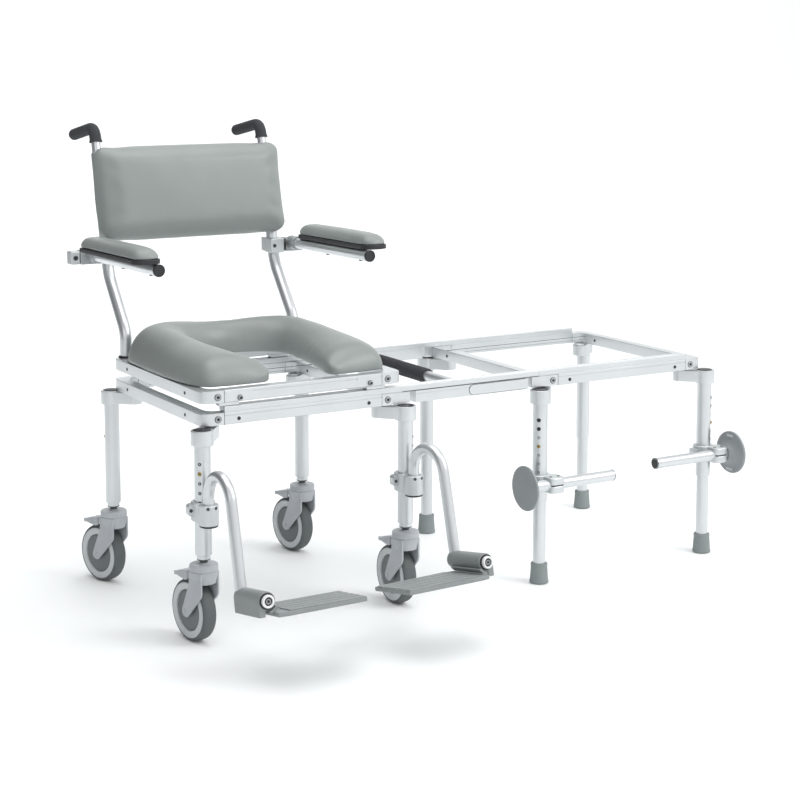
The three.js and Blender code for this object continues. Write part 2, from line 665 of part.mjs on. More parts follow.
// ---- assembly -----------------------------------------------------------------------------------
base('chair', 0, 1);
base('tub', TUB_X, -1);
bridge();
chairLegs();
tubLegs();
seatFrame();
seatCushion();
backrest();
backCushion();
armrest(-1);
armrest(1);
footrest(-1);
footrest(1);
bathClamp(-1, 226);
bathClamp(1, 237);

export default bench;
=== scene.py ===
# Looks of the bath transfer bench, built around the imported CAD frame.
# Lengths are millimetres in the CAD layout, whose x = 0, y = 0 is the chair base's front left corner.
import json
import math

import bmesh
import bpy
import numpy as np
from mathutils import Matrix, Vector


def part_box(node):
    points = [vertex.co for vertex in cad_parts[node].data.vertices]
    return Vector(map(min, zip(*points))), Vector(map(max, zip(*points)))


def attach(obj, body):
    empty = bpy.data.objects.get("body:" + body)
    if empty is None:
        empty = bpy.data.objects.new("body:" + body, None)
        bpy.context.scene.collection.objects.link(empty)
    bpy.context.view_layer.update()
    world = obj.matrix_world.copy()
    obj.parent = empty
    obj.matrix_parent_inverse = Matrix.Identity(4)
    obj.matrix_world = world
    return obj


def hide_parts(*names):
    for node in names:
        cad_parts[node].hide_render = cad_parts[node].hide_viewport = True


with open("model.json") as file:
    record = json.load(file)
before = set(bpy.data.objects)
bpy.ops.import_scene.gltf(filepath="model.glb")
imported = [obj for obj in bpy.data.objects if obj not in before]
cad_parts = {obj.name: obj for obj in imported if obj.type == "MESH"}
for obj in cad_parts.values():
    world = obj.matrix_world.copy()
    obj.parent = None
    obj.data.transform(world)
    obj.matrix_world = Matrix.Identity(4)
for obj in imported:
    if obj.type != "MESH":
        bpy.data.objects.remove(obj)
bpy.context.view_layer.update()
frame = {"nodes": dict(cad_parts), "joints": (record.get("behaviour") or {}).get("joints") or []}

# ---- driving dimensions ----------------------------------------------------------------------------
MM = 0.001
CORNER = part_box("chair_end_left")[0]
LAYOUT = Matrix.Translation((CORNER[0], CORNER[1], 0)) @ Matrix.Scale(MM, 4)

BASE_WIDTH, BASE_DEPTH, TUB_X = 457, 466, 803
RAIL, RAIL_Z, RAIL_TOP, TRACK_TOP = 25, 434, 459.3, 471
CORNER_RADIUS, CASTING, TONGUE = 36, 50, 19
SEAT_Z, SEAT_TOP = 478.5, 503.5
COLLAR_Z, COLLAR_TOP, COLLAR_RADIUS = 401, 431, 23
POST_RADIUS, POST_BOTTOM, CASTER_TOP = 16.5, 182, 169.5
HOLE_TOP, HOLE_PITCH, HOLES = 366, 19.3, 7
WHEEL_RADIUS, WHEEL_WIDTH, WHEEL_TRAIL = 62.5, 32, 38
TUBE_RADIUS, HANGER_RADIUS, CANE_RADIUS = 12.5, 11.3, 13
CANE_X = {"left": 26, "right": 433}
CANE_LEAN = math.radians(12.5)
CANE_KNEE = (543, 674)
ARM_AXIS = (545, 716)
ARM_RUN, ARM_OUT, ARM_TILT = 379, 40, math.atan2(5, 379)
SOCKET_Z = (251, 292)
BEND_RADIUS, HANGER_REACH, HANGER_SLOPE, BEND_Z = 52.7, 145, math.radians(14), 304.4
HINGE_Z = 147.6
BLOCK_BACK, BLOCK_LENGTH, BLOCK_RADIUS, BLOCK_DROP = -4, 108, 17.5, 29
DISC_RADIUS, ROD_Y = 49, -34
SEAT_HEIGHT, VINYL_FILL = 66, 0.9
GAP = 0.3
CLOTH_FRAMES = 20

# Screw heads: radius, height and the socket's share of the radius.
CORNER_BOLT = (6.4, 1.6, 0.5)
RAIL_SCREW, SIDE_SCREW = (3.8, 0.7, 0.55), (3.4, 0.7, 0.55)
CLAMP_SCREW, KNOB = (4.4, 1.6, 0.5), (5, 5.5, 0.6)

# Bolts and screws on the frames, along the rail and along the side, from the frame's corner.
BOLT_X, RAIL_SCREW_X, SIDE_SCREW_Y = 36, 81, (79, 381)

VIEW_HEADING = (0.5126, 0.8586)

SIDES = {"left": -1, "right": 1}
TAGS = [f"{end}_{side}" for end in ("front", "rear") for side in ("left", "right")]
JOINTS = {j["name"]: j for j in frame["joints"]}


# ---- placing ---------------------------------------------------------------------------------------
def to_layout(point):
    return LAYOUT.inverted() @ Vector(point)


def shift(x=0, y=0, z=0):
    return Matrix.Translation((x, y, z))


def turn(degrees, axis="Z"):
    return Matrix.Rotation(math.radians(degrees), 4, axis)


def aim(point, direction):
    """Frame at point whose Z axis runs along direction."""
    return Matrix.Translation(point) @ Vector(direction).to_track_quat("Z", "Y").to_matrix().to_4x4()


def axes(origin, x, y, z):
    """Frame in the layout from an origin and three unit axes."""
    turned = Matrix((x, y, z)).transposed().to_4x4()
    return LAYOUT @ Matrix.Translation(origin) @ turned


# A prism's outline (a, b) and height c, turned to lie along other axes.
TO_YZ = Matrix(((0, 0, 1, 0), (1, 0, 0, 0), (0, 1, 0, 0), (0, 0, 0, 1)))
TO_XZ = Matrix(((1, 0, 0, 0), (0, 0, 1, 0), (0, 1, 0, 0), (0, 0, 0, 1)))
TO_XZ_BACK = Matrix(((1, 0, 0, 0), (0, 0, -1, 0), (0, 1, 0, 0), (0, 0, 0, 1)))


def leg_axis(node):
    low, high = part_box(node)
    middle = to_layout([(low[i] + high[i]) / 2 for i in range(3)])
    return middle.x, middle.y


def caster_frame(tag):
    x, y = leg_axis(f"chair_leg_tube_{tag}")
    across = Vector(JOINTS[f"wheel_spin_{tag}"]["axis"])
    return axes((x, y, 0), across, Vector((-across.y, across.x, 0)), Vector((0, 0, 1)))


def swing_frames(side):
    """The footrest hanger's upright frame and the footplate's tilted hinge frame."""
    joint = JOINTS[f"footplate_flip_{side}"]
    back = Vector(joint["axis"]) * (-1 if side == "left" else 1)
    across = back.cross(Vector((0, 0, 1))).normalized()
    upright = across.cross(Vector((0, 0, 1))) * -1
    socket = to_layout(JOINTS[f"hanger_swing_{side}"]["pos_m"])
    swing = axes((socket.x, socket.y, 0), across, upright, Vector((0, 0, 1)))
    hinge = axes(to_layout(joint["pos_m"]), across, back, across.cross(back))
    return swing, hinge


# ---- materials -------------------------------------------------------------------------------------
def linear(hex_colour):
    channels = [int(hex_colour[i:i + 2], 16) / 255 for i in (0, 2, 4)]
    return [c / 12.92 if c <= 0.04045 else ((c + 0.055) / 1.055) ** 2.4 for c in channels] + [1]


def new_material(name):
    material = bpy.data.materials.new(name)
    material.use_nodes = True
    tree = material.node_tree
    shader = tree.nodes["Principled BSDF"]
    coordinates = tree.nodes.new("ShaderNodeTexCoord")
    return material, tree, shader, coordinates.outputs["Object"]


def noise(tree, source, scale, detail=3, stretch=(1, 1, 1)):
    mapping = tree.nodes.new("ShaderNodeMapping")
    mapping.inputs["Scale"].default_value = stretch
    tree.links.new(source, mapping.inputs["Vector"])
    texture = tree.nodes.new("ShaderNodeTexNoise")
    texture.inputs["Scale"].default_value = scale
    texture.inputs["Detail"].default_value = detail
    tree.links.new(mapping.outputs["Vector"], texture.inputs["Vector"])
    return texture.outputs["Fac"]


def ramp(tree, factor, low, high, start=0.3, stop=0.7):
    node = tree.nodes.new("ShaderNodeValToRGB")
    node.color_ramp.elements[0].position, node.color_ramp.elements[1].position = start, stop
    node.color_ramp.elements[0].color, node.color_ramp.elements[1].color = low, high
    tree.links.new(factor, node.inputs["Fac"])
    return node.outputs["Color"]


def spread(tree, factor, low, high):
    node = tree.nodes.new("ShaderNodeMapRange")
    node.inputs["To Min"].default_value, node.inputs["To Max"].default_value = low, high
    tree.links.new(factor, node.inputs["Value"])
    return node.outputs["Result"]


def bump(tree, shader, height, strength, distance):
    node = tree.nodes.new("ShaderNodeBump")
    node.inputs["Strength"].default_value = strength
    node.inputs["Distance"].default_value = distance
    tree.links.new(height, node.inputs["Height"])
    tree.links.new(node.outputs["Normal"], shader.inputs["Normal"])
    return node


def mottled(colour, share):
    return [c * (1 - share) for c in colour[:3]] + [1], [min(1, c * (1 + share)) for c in colour[:3]] + [1]


def moulded(name, hex_colour, roughness, grain=900, strength=0.15, metallic=0, share=0.05, specular=0.5):
    """Plastic, rubber or paint: faint mottling, varied roughness and a fine moulded grain."""
    material, tree, shader, source = new_material(name)
    cloud = noise(tree, source, 22, 4)
    low, high = mottled(linear(hex_colour), share)
    tree.links.new(ramp(tree, cloud, low, high), shader.inputs["Base Color"])
    tree.links.new(spread(tree, noise(tree, source, 60, 3), roughness - 0.07, roughness + 0.07),
                   shader.inputs["Roughness"])
    shader.inputs["Metallic"].default_value = metallic
    shader.inputs["Specular IOR Level"].default_value = specular
    bump(tree, shader, noise(tree, source, grain, 2), strength, 0.0004)
    return material


def anodised(name, hex_colour, roughness, metallic, stretch, share=0.035):
    """Satin anodised aluminium with drawing lines along one axis."""
    material, tree, shader, source = new_material(name)
    lines = noise(tree, source, 420, 2, stretch)
    low, high = mottled(linear(hex_colour), share)
    tree.links.new(ramp(tree, noise(tree, source, 9, 3), low, high), shader.inputs["Base Color"])
    tree.links.new(spread(tree, lines, roughness - 0.02, roughness + 0.03), shader.inputs["Roughness"])
    shader.inputs["Metallic"].default_value = metallic
    bump(tree, shader, lines, 0.006, 0.0001)
    return material


def vinyl(name, hex_colour):
    """Soft upholstery vinyl: cell grain over broad, shallow unevenness."""
    material, tree, shader, source = new_material(name)
    cells = tree.nodes.new("ShaderNodeTexVoronoi")
    cells.feature = "DISTANCE_TO_EDGE"
    cells.inputs["Scale"].default_value = 620
    tree.links.new(source, cells.inputs["Vector"])
    low, high = mottled(linear(hex_colour), 0.035)
    tree.links.new(ramp(tree, noise(tree, source, 12, 4), low, high), shader.inputs["Base Color"])
    tree.links.new(spread(tree, noise(tree, source, 45, 3), 0.33, 0.44), shader.inputs["Roughness"])
    fine = bump(tree, shader, cells.outputs["Distance"], 0.10, 0.0003)
    broad = tree.nodes.new("ShaderNodeBump")
    broad.inputs["Strength"].default_value = 0.08
    broad.inputs["Distance"].default_value = 0.002
    tree.links.new(noise(tree, source, 26, 2), broad.inputs["Height"])
    tree.links.new(broad.outputs["Normal"], fine.inputs["Normal"])
    return material


def foam(name, hex_colour):
    material, tree, shader, source = new_material(name)
    pores = tree.nodes.new("ShaderNodeTexVoronoi")
    pores.inputs["Scale"].default_value = 900
    tree.links.new(source, pores.inputs["Vector"])
    low, high = mottled(linear(hex_colour), 0.35)
    tree.links.new(ramp(tree, pores.outputs["Distance"], low, high, 0.1, 0.6), shader.inputs["Base Color"])
    tree.links.new(spread(tree, noise(tree, source, 200, 2), 0.75, 0.95), shader.inputs["Roughness"])
    shader.inputs["Specular IOR Level"].default_value = 0.3
    bump(tree, shader, pores.outputs["Distance"], 0.6, 0.0006)
    return material


ALONG_X, ALONG_Y, ALONG_Z = (0.06, 1, 1), (1, 0.06, 1), (1, 1, 0.06)
ALUMINIUM, ALUMINIUM_Y, ALUMINIUM_Z = (
    anodised(f"anodised_aluminium_{axis}", "d3d6d8", 0.32, 0.85, stretch)
    for axis, stretch in (("x", ALONG_X), ("y", ALONG_Y), ("z", ALONG_Z)))
CAST = anodised("cast_aluminium", "cfd3d4", 0.42, 0.7, (1, 1, 1), 0.05)
GREY_CAST = anodised("grey_casting", "a9adae", 0.45, 0.6, (1, 1, 1), 0.05)
VINYL = vinyl("grey_vinyl", "878d8b")
FORK = moulded("fork_nylon", "adb1b6", 0.42)
TYRE = moulded("tyre_rubber", "585d5e", 0.62, 700, 0.2)
RIM = moulded("rim_nylon", "c0c4c6", 0.4)
HUB = moulded("hub_plastic", "6b6f71", 0.5, 500, 0.4)
TIP = moulded("tip_rubber", "858c8c", 0.7, 700, 0.2)
PLATE = moulded("plate_plastic", "858a8a", 0.5, 500, 0.35)
DISC = moulded("disc_plastic", "8d9295", 0.5, 500, 0.3)
# BLACK and DARK also colour painted shade: the shadow rings and socket shade of bolts, the latch bar's
# shadow, the hinge washer's shadow and the chair legs' hole discs.
BLACK = moulded("black_plastic_and_painted_shade", "232427", 0.4, 600, 0.2)
DARK = moulded("dark_steel_and_painted_shade", "55585b", 0.35, 600, 0.1, 0.8)
STEEL = moulded("bright_steel", "a4a8aa", 0.3, 600, 0.05, 1.0)
WHITE = moulded("white_washer", "e4e6e6", 0.35)
HOLE_GREY = moulded("hole_shade", "8d9294", 0.5)
BRASS = moulded("brass", "94804e", 0.35, 600, 0.05, 1.0)
FOAM = foam("black_foam", "38393c")
FLOOR = moulded("studio_floor", "f8fafa", 0.6, 60, 0.02, 0, 0.004, 0.1)


# ---- shaping ---------------------------------------------------------------------------------------
class Maker:
    """Collects closed shapes, drawn in the millimetres of one frame, into one piece."""

    def __init__(self, place=LAYOUT):
        self.place = place
        self.bm = bmesh.new()

    def _take(self, part, at):
        bmesh.ops.transform(part, matrix=self.place @ at, verts=part.verts)
        mesh = bpy.data.meshes.new("part")
        bmesh.ops.recalc_face_normals(part, faces=part.faces)
        part.to_mesh(mesh)
        part.free()
        self.bm.from_mesh(mesh)
        bpy.data.meshes.remove(mesh)
        return self

    def rings(self, loops, at=Matrix.Identity(4), closed=False):
        """A skin over loops of equal length. Ends are capped unless the loops close on each other."""
        part = bmesh.new()
        rows = [[part.verts.new(p) for p in loop] for loop in loops]
        count = len(rows[0])
        pairs = list(zip(rows, rows[1:]))
        if closed:
            pairs.append((rows[-1], rows[0]))
        for low, high in pairs:
            for i in range(count):
                j = (i + 1) % count
                part.faces.new((low[i], low[j], high[j], high[i]))
        if not closed:
            part.faces.new(rows[0])
            part.faces.new(rows[-1])
        return self._take(part, at)

    def lathe(self, profile, at=Matrix.Identity(4), sides=48, closed=False):
        """Turned about Z. profile is [radius, z] from one end to the other, or closed round a bore."""
        angles = [2 * math.pi * i / sides for i in range(sides)]
        loops = [[(r * math.cos(a), r * math.sin(a), z) for a in angles] for r, z in profile]
        return self.rings(loops, at, closed)

    def rod(self, radius, start, end, sides=40, edge=0.8):
        start, end = Vector(start), Vector(end)
        length = (end - start).length
        profile = [(radius - edge, 0), (radius, edge), (radius, length - edge), (radius - edge, length)]
        return self.lathe(profile, aim(start, end - start), sides)

    def ring(self, outer, inner, start, end, sides=48, edge=0.8):
        start, end = Vector(start), Vector(end)
        length = (end - start).length
        profile = [(inner, 0), (outer - edge, 0), (outer, edge), (outer, length - edge),
                   (outer - edge, length), (inner, length)]
        return self.lathe(profile, aim(start, end - start), sides, closed=True)

    def prism(self, outline, z0, z1, at=Matrix.Identity(4), edge=1.2, steps=2, sharp=40):
        """An outline raised from z0 to z1, with its rims and its sharp corners rounded."""
        part = bmesh.new()
        low = [part.verts.new((x, y, z0)) for x, y in outline]
        high = [part.verts.new((x, y, z1)) for x, y in outline]
        count = len(outline)
        part.faces.new(low)
        part.faces.new(high)
        for i in range(count):
            j = (i + 1) % count
            part.faces.new((low[i], low[j], high[j], high[i]))
        bmesh.ops.recalc_face_normals(part, faces=part.faces)
        if edge:
            limit = math.radians(sharp)
            edges = [e for e in part.edges if e.calc_face_angle(0) > limit]
            bmesh.ops.bevel(part, geom=edges, offset=edge, segments=steps, profile=0.5, affect="EDGES",
                            clamp_overlap=True)
        return self._take(part, at)

    def block(self, x, y, z, edge=1.2, at=Matrix.Identity(4), steps=2):
        outline = [(x[0], y[0]), (x[1], y[0]), (x[1], y[1]), (x[0], y[1])]
        return self.prism(outline, z[0], z[1], at, edge, steps)

    def sweep(self, path, radius, sides=32, at=Matrix.Identity(4), tip=0):
        """A round tube along (y, z) points in the frame's YZ plane. tip rounds its far end."""
        points = [Vector((0, y, z)) for y, z in path]
        loops = []
        for i, point in enumerate(points):
            ahead = points[min(i + 1, len(points) - 1)] - points[max(i - 1, 0)]
            side = ahead.normalized().cross(Vector((1, 0, 0)))
            size = radius[i] if isinstance(radius, list) else radius
            loops.append(around(point, side, size, sides))
        if tip:
            last = (points[-1] - points[-2]).normalized()
            side = last.cross(Vector((1, 0, 0)))
            for k in range(1, 6):
                angle = math.pi / 2 * k / 6
                loops.append(around(points[-1] + last * tip * math.sin(angle), side,
                                    radius * math.cos(angle) ** 0.6, sides))
        return self.rings(loops, at)

    def screw(self, point, direction, radius=5.5, height=2.2, socket=0.5):
        """A round screw head with a socket."""
        r, h = radius, height
        profile = [(r * 0.96, -0.6), (r, 0), (r, h * 0.55), (r * 0.86, h), (r * (socket + 0.06), h),
                   (r * socket, h - 0.3), (r * socket * 0.9, max(0.1, h - 2)), (0.05, max(0.1, h - 2))]
        return self.lathe(profile, aim(point, direction), 24)

    def done(self, name, body, material, slot, replaces=(), sharp=42):
        """Makes the piece. A maker that drew nothing makes none."""
        if not self.bm.verts:
            return None
        mesh = bpy.data.meshes.new(name)
        self.bm.to_mesh(mesh)
        self.bm.free()
        return finish_piece(name, mesh, body, material, replaces, sharp)


class Bolts:
    """Round-headed bolts: bright heads, with painted shade in their sockets and a painted shadow ring round
    each head.
    """

    def __init__(self, place=LAYOUT):
        self.heads, self.painted_shade_parts = Maker(place), Maker(place)

    def add(self, point, direction, radius=5.5, height=2, socket=0.5):
        direction = Vector(direction)
        self.heads.screw(point, direction, radius, height, socket)
        floor = Vector(point) + direction * max(0.3, height - 1.2)
        r = radius * socket * 0.92
        lobes = [(r * (1 - 0.16 * (i % 2)) * math.cos(math.pi * i / 6),
                  r * (1 - 0.16 * (i % 2)) * math.sin(math.pi * i / 6)) for i in range(12)]
        # Painted shade: a dark lobed disc in the socket, and a thin black ring round the head for the head's
        # shadow.
        self.painted_shade_parts.prism(lobes, -0.5, 0.25, aim(floor, direction), edge=0)
        self.painted_shade_parts.ring(radius + 0.9, radius * 0.9, Vector(point) - direction * 0.5,
                        Vector(point) + direction * 0.35, 32, 0.1)

    def done(self, name, body, material, slot="aluminium"):
        self.heads.done(name, body, material, slot)
        # The painted socket shade and shadow rings, in black.
        self.painted_shade_parts.done(f"{name}_sockets", body, BLACK, slot)


def around(point, side, radius, sides):
    across = Vector((1, 0, 0))
    return [point + radius * (math.cos(a) * across + math.sin(a) * side)
            for a in (2 * math.pi * i / sides for i in range(sides))]


def finish_piece(name, mesh, body, material, replaces=(), sharp=42):
    mesh.shade_smooth()
    mesh.set_sharp_from_angle(angle=math.radians(sharp))
    obj = bpy.data.objects.new(name, mesh)
    bpy.context.scene.collection.objects.link(obj)
    mesh.materials.append(material)
    weighted = obj.modifiers.new("weighted", "WEIGHTED_NORMAL")
    weighted.keep_sharp = True
    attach(obj, body)
    if replaces:
        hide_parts(*replaces)
    return obj


def curve(p0, p1, p2, steps=6):
    """Points on a quadratic curve, without its first point."""
    points = []
    for i in range(1, steps + 1):
        t = i / steps
        points.append(tuple((1 - t) ** 2 * a + 2 * t * (1 - t) * b + t * t * c
                            for a, b, c in zip(p0, p1, p2)))
    return points


def cubic(p0, p1, p2, p3, steps=12):
    points = []
    for i in range(1, steps + 1):
        t = i / steps
        weights = ((1 - t) ** 3, 3 * t * (1 - t) ** 2, 3 * t * t * (1 - t), t ** 3)
        points.append(tuple(sum(w * p[k] for w, p in zip(weights, (p0, p1, p2, p3))) for k in (0, 1)))
    return points


def arc(cx, cy, radius, start, stop, steps=8):
    """Points on an arc, by degrees, both ends included."""
    angles = [math.radians(start + (stop - start) * i / steps) for i in range(steps + 1)]
    return [(cx + radius * math.cos(a), cy + radius * math.sin(a)) for a in angles]


def rounded_rectangle(x0, y0, x1, y1, radius, steps=6):
    return (arc(x1 - radius, y0 + radius, radius, -90, 0, steps)
            + arc(x1 - radius, y1 - radius, radius, 0, 90, steps)
            + arc(x0 + radius, y1 - radius, radius, 90, 180, steps)
            + arc(x0 + radius, y0 + radius, radius, 180, 270, steps))


def bent(corners, steps):
    """Straight runs with rounded corners. corners are (y, z, bend radius)."""
    path = [corners[0][:2]]
    for i in range(1, len(corners)):
        here = Vector(corners[i][:2])
        if len(corners[i]) < 3:
            path.append(tuple(here))
            continue
        into = (here - Vector(corners[i - 1][:2])).normalized()
        out = (Vector(corners[i + 1][:2]) - here).normalized()
        reach = corners[i][2] * math.tan(into.angle(out) / 2)
        start, end = here - into * reach, here + out * reach
        path.append(tuple(start))
        path += curve(tuple(start), tuple(here), tuple(end), steps)
    return path


# ---- frames and rails ------------------------------------------------------------------------------
def end_outline(base_x, sx):
    """One end of a frame: the side rail with its two rounded corner castings."""
    edge = base_x if sx < 0 else base_x + BASE_WIDTH
    r, d = CORNER_RADIUS, BASE_DEPTH

    def p(inwards, y):
        return (edge - sx * inwards, y)
    front = [p(CASTING, 0), p(r, 0)] + curve(p(r, 0), p(r * 0.25, r * 0.02), p(r * 0.11, r * 0.26), 4)
    front += curve(front[-1], p(0, r * 0.5), p(0, r), 4)
    mirrored = [(x, d - y) for x, y in reversed(front)]
    inner_front = [p(CASTING, RAIL)] + curve(p(CASTING, RAIL), p(RAIL, RAIL), p(RAIL, RAIL + 25), 5)
    inner_rear = [(x, d - y) for x, y in inner_front]
    return front + mirrored + inner_rear + inner_front[::-1]


def end_piece(name, base_x, sx, z0, z1, body, replaces, tongues):
    maker = Maker()
    maker.prism(end_outline(base_x, sx), z0, z1, edge=1.6)
    if tongues:
        edge = base_x if sx < 0 else base_x + BASE_WIDTH
        span = sorted((edge - sx * CORNER_RADIUS, edge + sx * TONGUE))
        for y in ((2, RAIL - 5), (BASE_DEPTH - RAIL + 5, BASE_DEPTH - 2)):
            maker.block(span, y, (z0 + 1, z1), 1.2)
    maker.done(name, body, ALUMINIUM_Y, "aluminium", replaces)


RAIL_PROFILE = [(1, 0), (24, 0), (25, 1), (25, 24.3), (24, 25.3), (1, 25.3), (0, 24.3), (0, 19.6),
                (0.9, 19.2), (0.9, 18.4), (0, 18), (0, 1)]
TRACK_PROFILE = [(1.1, 0), (23.9, 0), (23.9, 0.8), (25, 1.4), (25, 11), (24.3, 11.7), (17.5, 11.7),
                 (17, 10.2), (8, 10.2), (7.5, 11.7), (0.7, 11.7), (0, 11), (0, 1.4), (1.1, 0.8)]


def extrusion(maker, profile, x0, x1, rear, z):
    """A rail along X. profile is (inwards from the outer face, up)."""
    def loop(x):
        return [(x, BASE_DEPTH - v if rear else v, z + w) for v, w in profile]
    maker.rings([loop(x0), loop(x1)])


def base_frame(prefix, base_x, bridge_side, body):
    for side, sx in SIDES.items():
        end_piece(f"{prefix}_end_casting_{side}", base_x, sx, RAIL_Z, RAIL_TOP - GAP, body,
                  (f"{prefix}_end_{side}",), sx == bridge_side)
    x0, x1 = base_x + CASTING + GAP, base_x + BASE_WIDTH - CASTING - GAP
    track = (x0, base_x + BASE_WIDTH) if bridge_side > 0 else (base_x, x1)
    for rear, place in ((False, "front"), (True, "rear")):
        maker = Maker()
        extrusion(maker, RAIL_PROFILE, x0, x1, rear, RAIL_Z)
        extrusion(maker, TRACK_PROFILE, track[0], track[1], rear, RAIL_TOP)
        maker.done(f"{prefix}_rail_extrusion_{place}", body, ALUMINIUM, "aluminium",
                   (f"{prefix}_rail_{place}",))
    screws, caps, lines = Bolts(), Maker(), Maker()
    for y, out in ((0, -1), (BASE_DEPTH, 1)):
        for x in (BOLT_X, BASE_WIDTH - BOLT_X):
            screws.add((base_x + x, y, 446.5), (0, out, 0), *CORNER_BOLT)
        for x in (RAIL_SCREW_X, BASE_WIDTH - RAIL_SCREW_X):
            caps.screw((base_x + x, y, 444.5), (0, out, 0), *RAIL_SCREW)
    for x, out in ((0, -1), (BASE_WIDTH, 1)):
        for y in SIDE_SCREW_Y:
            caps.screw((base_x + x, y, 446), (out, 0, 0), *SIDE_SCREW)
            caps.screw((base_x + x - out * RAIL, y, 446), (-out, 0, 0), *SIDE_SCREW)
        # Known fault: these thin lines belong on the rails' outer faces, but cross the base
        # at the last side screw's y.
        face = sorted((y + out * 0.12, y - out * 0.8))
        lines.block(track, face, (RAIL_TOP - 0.2, RAIL_TOP + 0.7), 0.1)
        lines.block((x0, x1), face, (RAIL_Z + 18, RAIL_Z + 18.5), 0.1)
    lines.done(f"{prefix}_rail_lines", body, DARK, "aluminium")
    screws.done(f"{prefix}_corner_bolts", body, STEEL)
    caps.done(f"{prefix}_rail_screws", body, BLACK, "aluminium")
    seams(f"{prefix}_seams", base_x, RAIL_Z, RAIL_TOP - GAP, body)


def seams(name, base_x, z0, z1, body):
    """Thin dark gaskets in the joints between the castings and the rails."""
    maker = Maker()
    for x in (CASTING, BASE_WIDTH - CASTING):
        for y in (0, BASE_DEPTH - RAIL):
            maker.block((base_x + x - 0.7, base_x + x + 0.7), (y + GAP, y + RAIL - GAP),
                        (z0 + GAP, z1 - GAP), 0.2)
    maker.done(name, body, BLACK, "aluminium")


def bridge():
    x0, x1 = BASE_WIDTH + GAP, TUB_X - GAP
    low, high = x0 + 30.7, x1 - 30.7
    maker = Maker()
    for rear in (False, True):
        extrusion(maker, TRACK_PROFILE, x0, x1, rear, RAIL_TOP)
        extrusion(maker, RAIL_PROFILE, low, high, rear, RAIL_Z)
    middle = (x0 + x1) / 2
    z = RAIL_Z + 12.6
    maker.rod(12, (middle, RAIL - 2, z), (middle, BASE_DEPTH - RAIL + 2, z))
    maker.done("bridge_rails", "tub_side", ALUMINIUM, "aluminium", ("bridge_frame",))
    half = 10.6
    bar = arc(middle + 2, 0, half, 90, 270, 14) + [(high - 0.5, -half), (high - 0.5, half)]
    # A dark outline a little larger than the bar, set behind it: a painted shadow round the bar's rounded end
    # and edges.
    shadow = arc(middle + 2, 0, half + 1, 90, 270, 14) + [(high - 6, -half - 1), (high - 6, half + 1)]
    bars, edges, lines = Maker(), Maker(), Maker()
    for y, out in ((0, -1), (BASE_DEPTH, 1)):
        at = shift(0, y, z) @ TO_XZ
        bars.prism(bar, *sorted((out * 1.3, -out * 2)), at, edge=0.5)
        edges.prism(shadow, *sorted((out * 0.35, -out * 2)), at, edge=0.1)
        face = sorted((y + out * 0.12, y - out * 0.8))
        lines.block((x0, x1), face, (RAIL_TOP - 0.2, RAIL_TOP + 0.7), 0.1)
    bars.done("bridge_latch_bars", "tub_side", ALUMINIUM, "aluminium")
    edges.done("bridge_latch_shadow", "tub_side", DARK, "aluminium")
    lines.done("bridge_rail_lines", "tub_side", DARK, "aluminium")
    low_y, high_y = (to_layout(p).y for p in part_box("bridge_grip"))
    grip = Maker()
    length = high_y - low_y
    profile = [(12.3, 0), (15, 0), (16.3, 1.2), (16.5, 3), (16.5, length - 3), (16.3, length - 1.2),
               (15, length), (12.3, length)]
    grip.lathe(profile, aim((middle, low_y, z), (0, 1, 0)), 48, closed=True)
    grip.done("bridge_foam_grip", "tub_side", FOAM, "foam", ("bridge_grip",))


# ---- legs ------------------------------------------------------------------------------------------
def two_boss(radius0, radius1, distance, steps=14):
    tangent = math.degrees(math.acos((radius0 - radius1) / distance))
    return (arc(0, 0, radius0, tangent, 360 - tangent, steps)
            + arc(distance, 0, radius1, -tangent, tangent, steps // 2))


def leg(prefix, base_x, tag, body):
    """Bracket under the corner casting, clamp collar, outer tube with its row of holes."""
    x, y = leg_axis(f"{prefix}_leg_tube_{tag}")
    sx = -1 if tag.endswith("left") else 1
    sy = -1 if tag.startswith("front") else 1
    corner = (base_x + (0 if sx < 0 else BASE_WIDTH), 0 if sy < 0 else BASE_DEPTH)
    boss = (corner[0] - sx * CORNER_RADIUS, corner[1] - sy * CORNER_RADIUS)
    distance = math.hypot(boss[0] - x, boss[1] - y)
    heading = math.degrees(math.atan2(boss[1] - y, boss[0] - x))
    post = Maker()
    post.prism(two_boss(COLLAR_RADIUS - 3, 17, distance), COLLAR_Z + 3, COLLAR_TOP - 1,
               shift(x, y) @ turn(heading), 1.6)
    post.rod(12, (*boss, COLLAR_TOP - 2), (*boss, RAIL_Z - 0.4), 32)
    c = COLLAR_RADIUS
    post.lathe([(14.5, COLLAR_TOP - 9), (14.5, POST_BOTTOM), (POST_RADIUS - 0.8, POST_BOTTOM),
                (POST_RADIUS, POST_BOTTOM + 0.8), (POST_RADIUS, COLLAR_Z), (c - 1.6, COLLAR_Z),
                (c - 0.4, COLLAR_Z + 0.6), (c, COLLAR_Z + 2),
                (c, COLLAR_TOP - 2), (c - 0.5, COLLAR_TOP - 0.6), (c - 1.8, COLLAR_TOP), (18.5, COLLAR_TOP),
                (18, COLLAR_TOP - 1), (14.5, COLLAR_TOP - 1)], shift(x, y), 48, closed=True)
    post.done(f"{prefix}_leg_outer_{tag}", body, ALUMINIUM_Z, "aluminium", (f"{prefix}_leg_post_{tag}",))
    if prefix == "chair":
        caster_stem(x, y, tag)
    cap = Maker()
    cap.lathe([(0.1, COLLAR_TOP - 3), (17.6, COLLAR_TOP - 3), (17.6, COLLAR_TOP), (16, COLLAR_TOP + 1.2),
               (0.1, COLLAR_TOP + 1.6)], shift(x, y))
    cap.done(f"{prefix}_leg_cap_{tag}", body, BLACK, "aluminium")
    leg_holes(prefix, x, y, sx, sy, tag, body)


